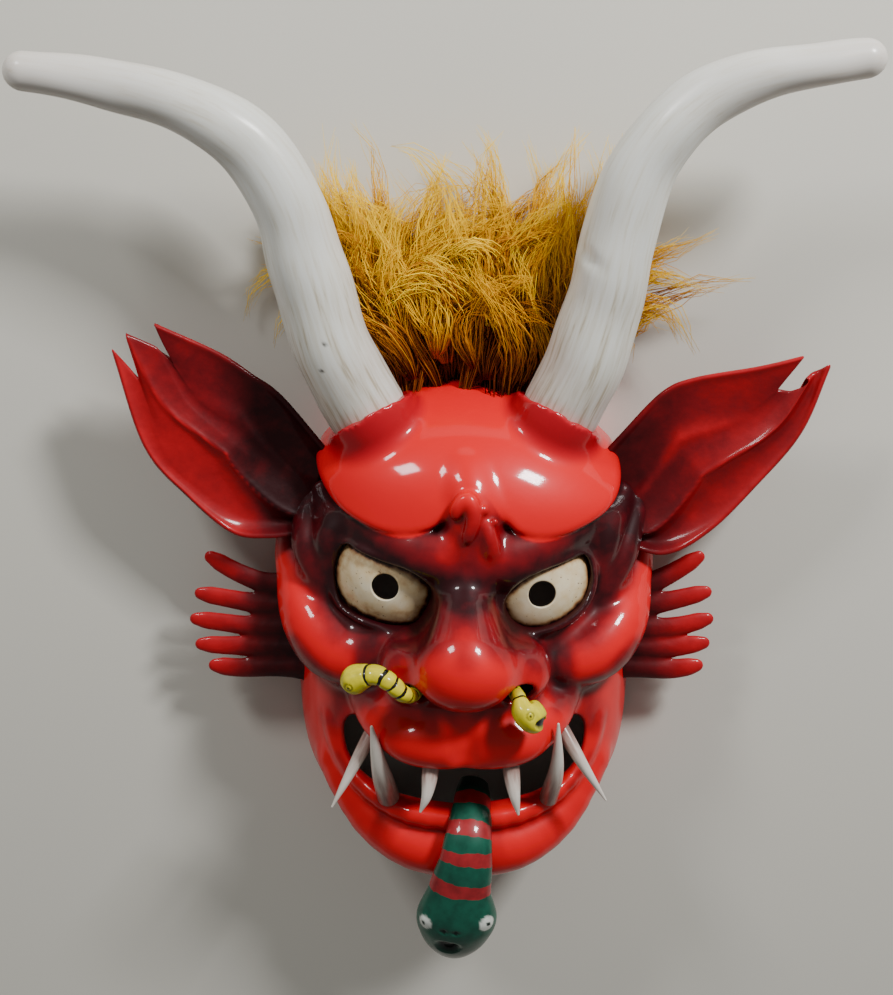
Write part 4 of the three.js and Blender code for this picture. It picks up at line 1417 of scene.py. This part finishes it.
def loose_tufts(rng, count, depth_range):
    """The middle lines of tufts between the horns, which wander and curl at their tips."""
    place = rng.permutation((np.arange(count) + rng.random(count)) / count)
    depth = rng.uniform(*depth_range, count)
    root = on_line(HAIR_ROOTS, place)
    tip = on_line(HAIR_TIPS, np.clip(place + rng.normal(0, 0.05, count), 0, 1))
    whole = np.linalg.norm(tip - root, axis=1)
    start = rng.uniform(0, 0.5, count) * (depth > 0.3)
    reach = np.maximum(1.12 - 0.45 * depth ** 2 + rng.normal(0, 0.05, count), start + 0.35)
    length = whole * (reach - start)
    t = np.linspace(0, TUFT_END, TUFT_STEPS)
    calm = 0.3 + 0.7 * smoothstep(100, 60, np.abs(tip[:, 0]))[:, None]
    heading = np.arctan2(*(tip - root).T[::-1])[:, None] + calm * rng.normal(0, 0.16, (count, 1))
    sway, waves, phase = rng.uniform([[0.1], [0.5], [0]], [[0.42], [1.3], [1]], (3, count))
    curl = rng.choice([-1, 1], count) * np.where(
        rng.random(count) < 0.35, rng.uniform(1.8, 3.4, count), rng.uniform(0.2, 1.3, count)
    ) * smoothstep(95, 55, np.abs(tip[:, 0]))
    at_root = np.sin(math.tau * phase)[:, None]
    swing = np.sin(math.tau * (waves[:, None] * t + phase[:, None])) - at_root
    heading = heading + calm * sway[:, None] * swing + curl[:, None] * t ** 2.6
    step = (length / (len(t) - 1) * t[-1])[:, None, None]
    moves = np.stack([np.cos(heading), np.sin(heading)], 2) * step
    moves[:, 0] = 0
    line = (root + (tip - root) * start[:, None])[:, None] + np.cumsum(moves, 1)
    low, high = 8 + 34 * depth, 12 + 44 * depth ** 0.8 + rng.normal(0, 4, count)
    z = low[:, None] + (high - low)[:, None] * t + 4 * np.sin(math.tau * (t + phase[:, None]))
    share = (start[:, None] + (reach - start)[:, None] * t) / 1.05
    return np.concatenate([line, z[..., None]], 2), share


def side_tufts(rng, each):
    """The middle lines of the tufts beside the horns."""
    lines = []
    for points in SIDE_TUFTS:
        line = smooth_line(points, 12)
        for _ in range(each if points[0][0] > 0 else 1):
            moved = line + rng.normal(0, 2, 3)
            moved = moved + rng.normal(0, 3, 3) * np.linspace(0, 1, len(line))[:, None]
            lines.append(on_line(moved, np.linspace(0, rng.uniform(0.9, 1.02), TUFT_STEPS)))
    return np.array(lines), np.tile(np.linspace(0.25, 0.95, TUFT_STEPS), (len(lines), 1))


def hair_piece(rng, lines, shares, each, material, name):
    """Strands spread round tuft lines: narrow at the root, loose on the way, gathered at the tip."""
    t = np.linspace(0, 1, STRAND_STEPS)
    tuft = np.repeat(np.arange(len(lines)), each)
    count = len(tuft)
    ends = rng.uniform(0.66, 1.06, count)
    place = np.clip(t * ends[:, None] / TUFT_END, 0, 1) * (TUFT_STEPS - 1)
    low = np.minimum(place.astype(int), TUFT_STEPS - 2)
    part = (place - low)[..., None]
    rows = tuft[:, None]
    centre = lines[rows, low] * (1 - part) + lines[rows, low + 1] * part
    share = shares[rows, low] * (1 - part[..., 0]) + shares[rows, low + 1] * part[..., 0]
    way = np.gradient(centre, axis=1)
    way /= np.linalg.norm(way, axis=2, keepdims=True) + 1e-9
    across = np.cross(way, [0.0, 0, 1])
    across /= np.linalg.norm(across, axis=2, keepdims=True) + 1e-9
    turn = rng.uniform(0, math.tau, count)
    spread = rng.uniform(4, 10, len(lines))[tuft] * np.sqrt(rng.random(count))
    loose = 0.45 + 0.95 * np.sin(math.pi * np.clip(1.05 * t, 0, 1)) ** 0.8
    off = spread[:, None] * loose
    length = np.linalg.norm(np.diff(centre, axis=1), axis=2).sum(1)
    phase = rng.random(len(lines))[tuft] + rng.normal(0, 0.3, count)
    turns = length / (rng.uniform(26, 60, len(lines))[tuft] * rng.uniform(0.8, 1.25, count))
    swing = rng.uniform(0.6, 4.2, count)[:, None] * t
    wave = swing * np.sin(math.tau * (turns[:, None] * t + phase[:, None]))
    side = off * np.cos(turn)[:, None] + wave
    rise = 0.75 * off * np.sin(turn)[:, None] + 0.5 * wave
    paths = centre + side[..., None] * across
    paths[..., 2] = np.maximum(paths[..., 2] + rise, 2.5)
    radius = rng.uniform(0.26, 0.5, count)
    tints = rng.normal(0, 0.34, len(lines))[tuft] + rng.normal(0, 0.14, count)
    mesh = strands(paths, radius, share, np.clip(tints, -0.9, 0.9), name)
    piece(mesh, material, "hair_crest")


def make_hair():
    rng = np.random.default_rng(HAIR_SEED)
    material = build_hair_fibre()
    for name, depths in (("back", (0, 0.4)), ("middle", (0.3, 0.75)), ("front", (0.6, 1.0))):
        lines, shares = loose_tufts(rng, TUFTS, depths)
        if name == "back":
            sides, side_shares = side_tufts(rng, 3)
            lines, shares = np.concatenate([lines, sides]), np.concatenate([shares, side_shares])
        each = STRANDS // len(lines)
        hair_piece(rng, lines, shares, each, material, f"hair_crest_{name}_strands")


# Stage, camera and light

CAMERA_PLACE = placed([-12.21, 368.4, 1152.52])
CAMERA_TILT = math.radians(-15)
CAMERA_LENS = 60.3
SENSOR = 36.0
LIGHT_AIM = Vector((0, 0, 0.06))


def make_stage():
    bm = bmesh.new()
    bmesh.ops.create_grid(bm, x_segments=1, y_segments=1, size=4)
    mesh = finished(bm, "studio_floor")
    # Matt painted board: a plain pale ground that only takes the shadow.
    material, _, shader = new_material("matt_paint_pale_grey", Roughness=0.9)
    shader.inputs["Base Color"].default_value = linear("#cfccc2")
    mesh.materials.append(material)
    floor = into_scene(mesh)


def area_light(name, place, size, watts):
    light = bpy.data.lights.new(name, "AREA")
    light.size = size
    light.energy = watts
    lamp = into_scene(light)
    lamp.location = place
    lamp.rotation_euler = (LIGHT_AIM - Vector(place)).to_track_quat("-Z", "Y").to_euler()


def make_light():
    area_light("left_softbox", (-0.85, 1.35, 0.95), 0.34, 15)
    area_light("right_softbox", (0.95, 1.3, 1.0), 0.3, 42)
    world = bpy.data.worlds.new("studio")
    bpy.context.scene.world = world
    world.use_nodes = True
    background = world.node_tree.nodes["Background"]
    background.inputs["Color"].default_value = linear("#e6e6e2")
    background.inputs["Strength"].default_value = 0.24


def make_camera():
    lens = bpy.data.cameras.new("photo_view")
    lens.lens = CAMERA_LENS
    lens.sensor_width = SENSOR
    camera = into_scene(lens)
    camera.location = CAMERA_PLACE
    camera.rotation_euler = (CAMERA_TILT, 0, 0)
    bpy.context.scene.camera = camera


make_face()
make_eyes()
make_horns()
make_ears()
make_fins()
make_nose_snakes()
make_tongue()
make_fangs()
make_hair()
make_stage()
make_light()
make_camera()

bpy.context.view_layer.update()
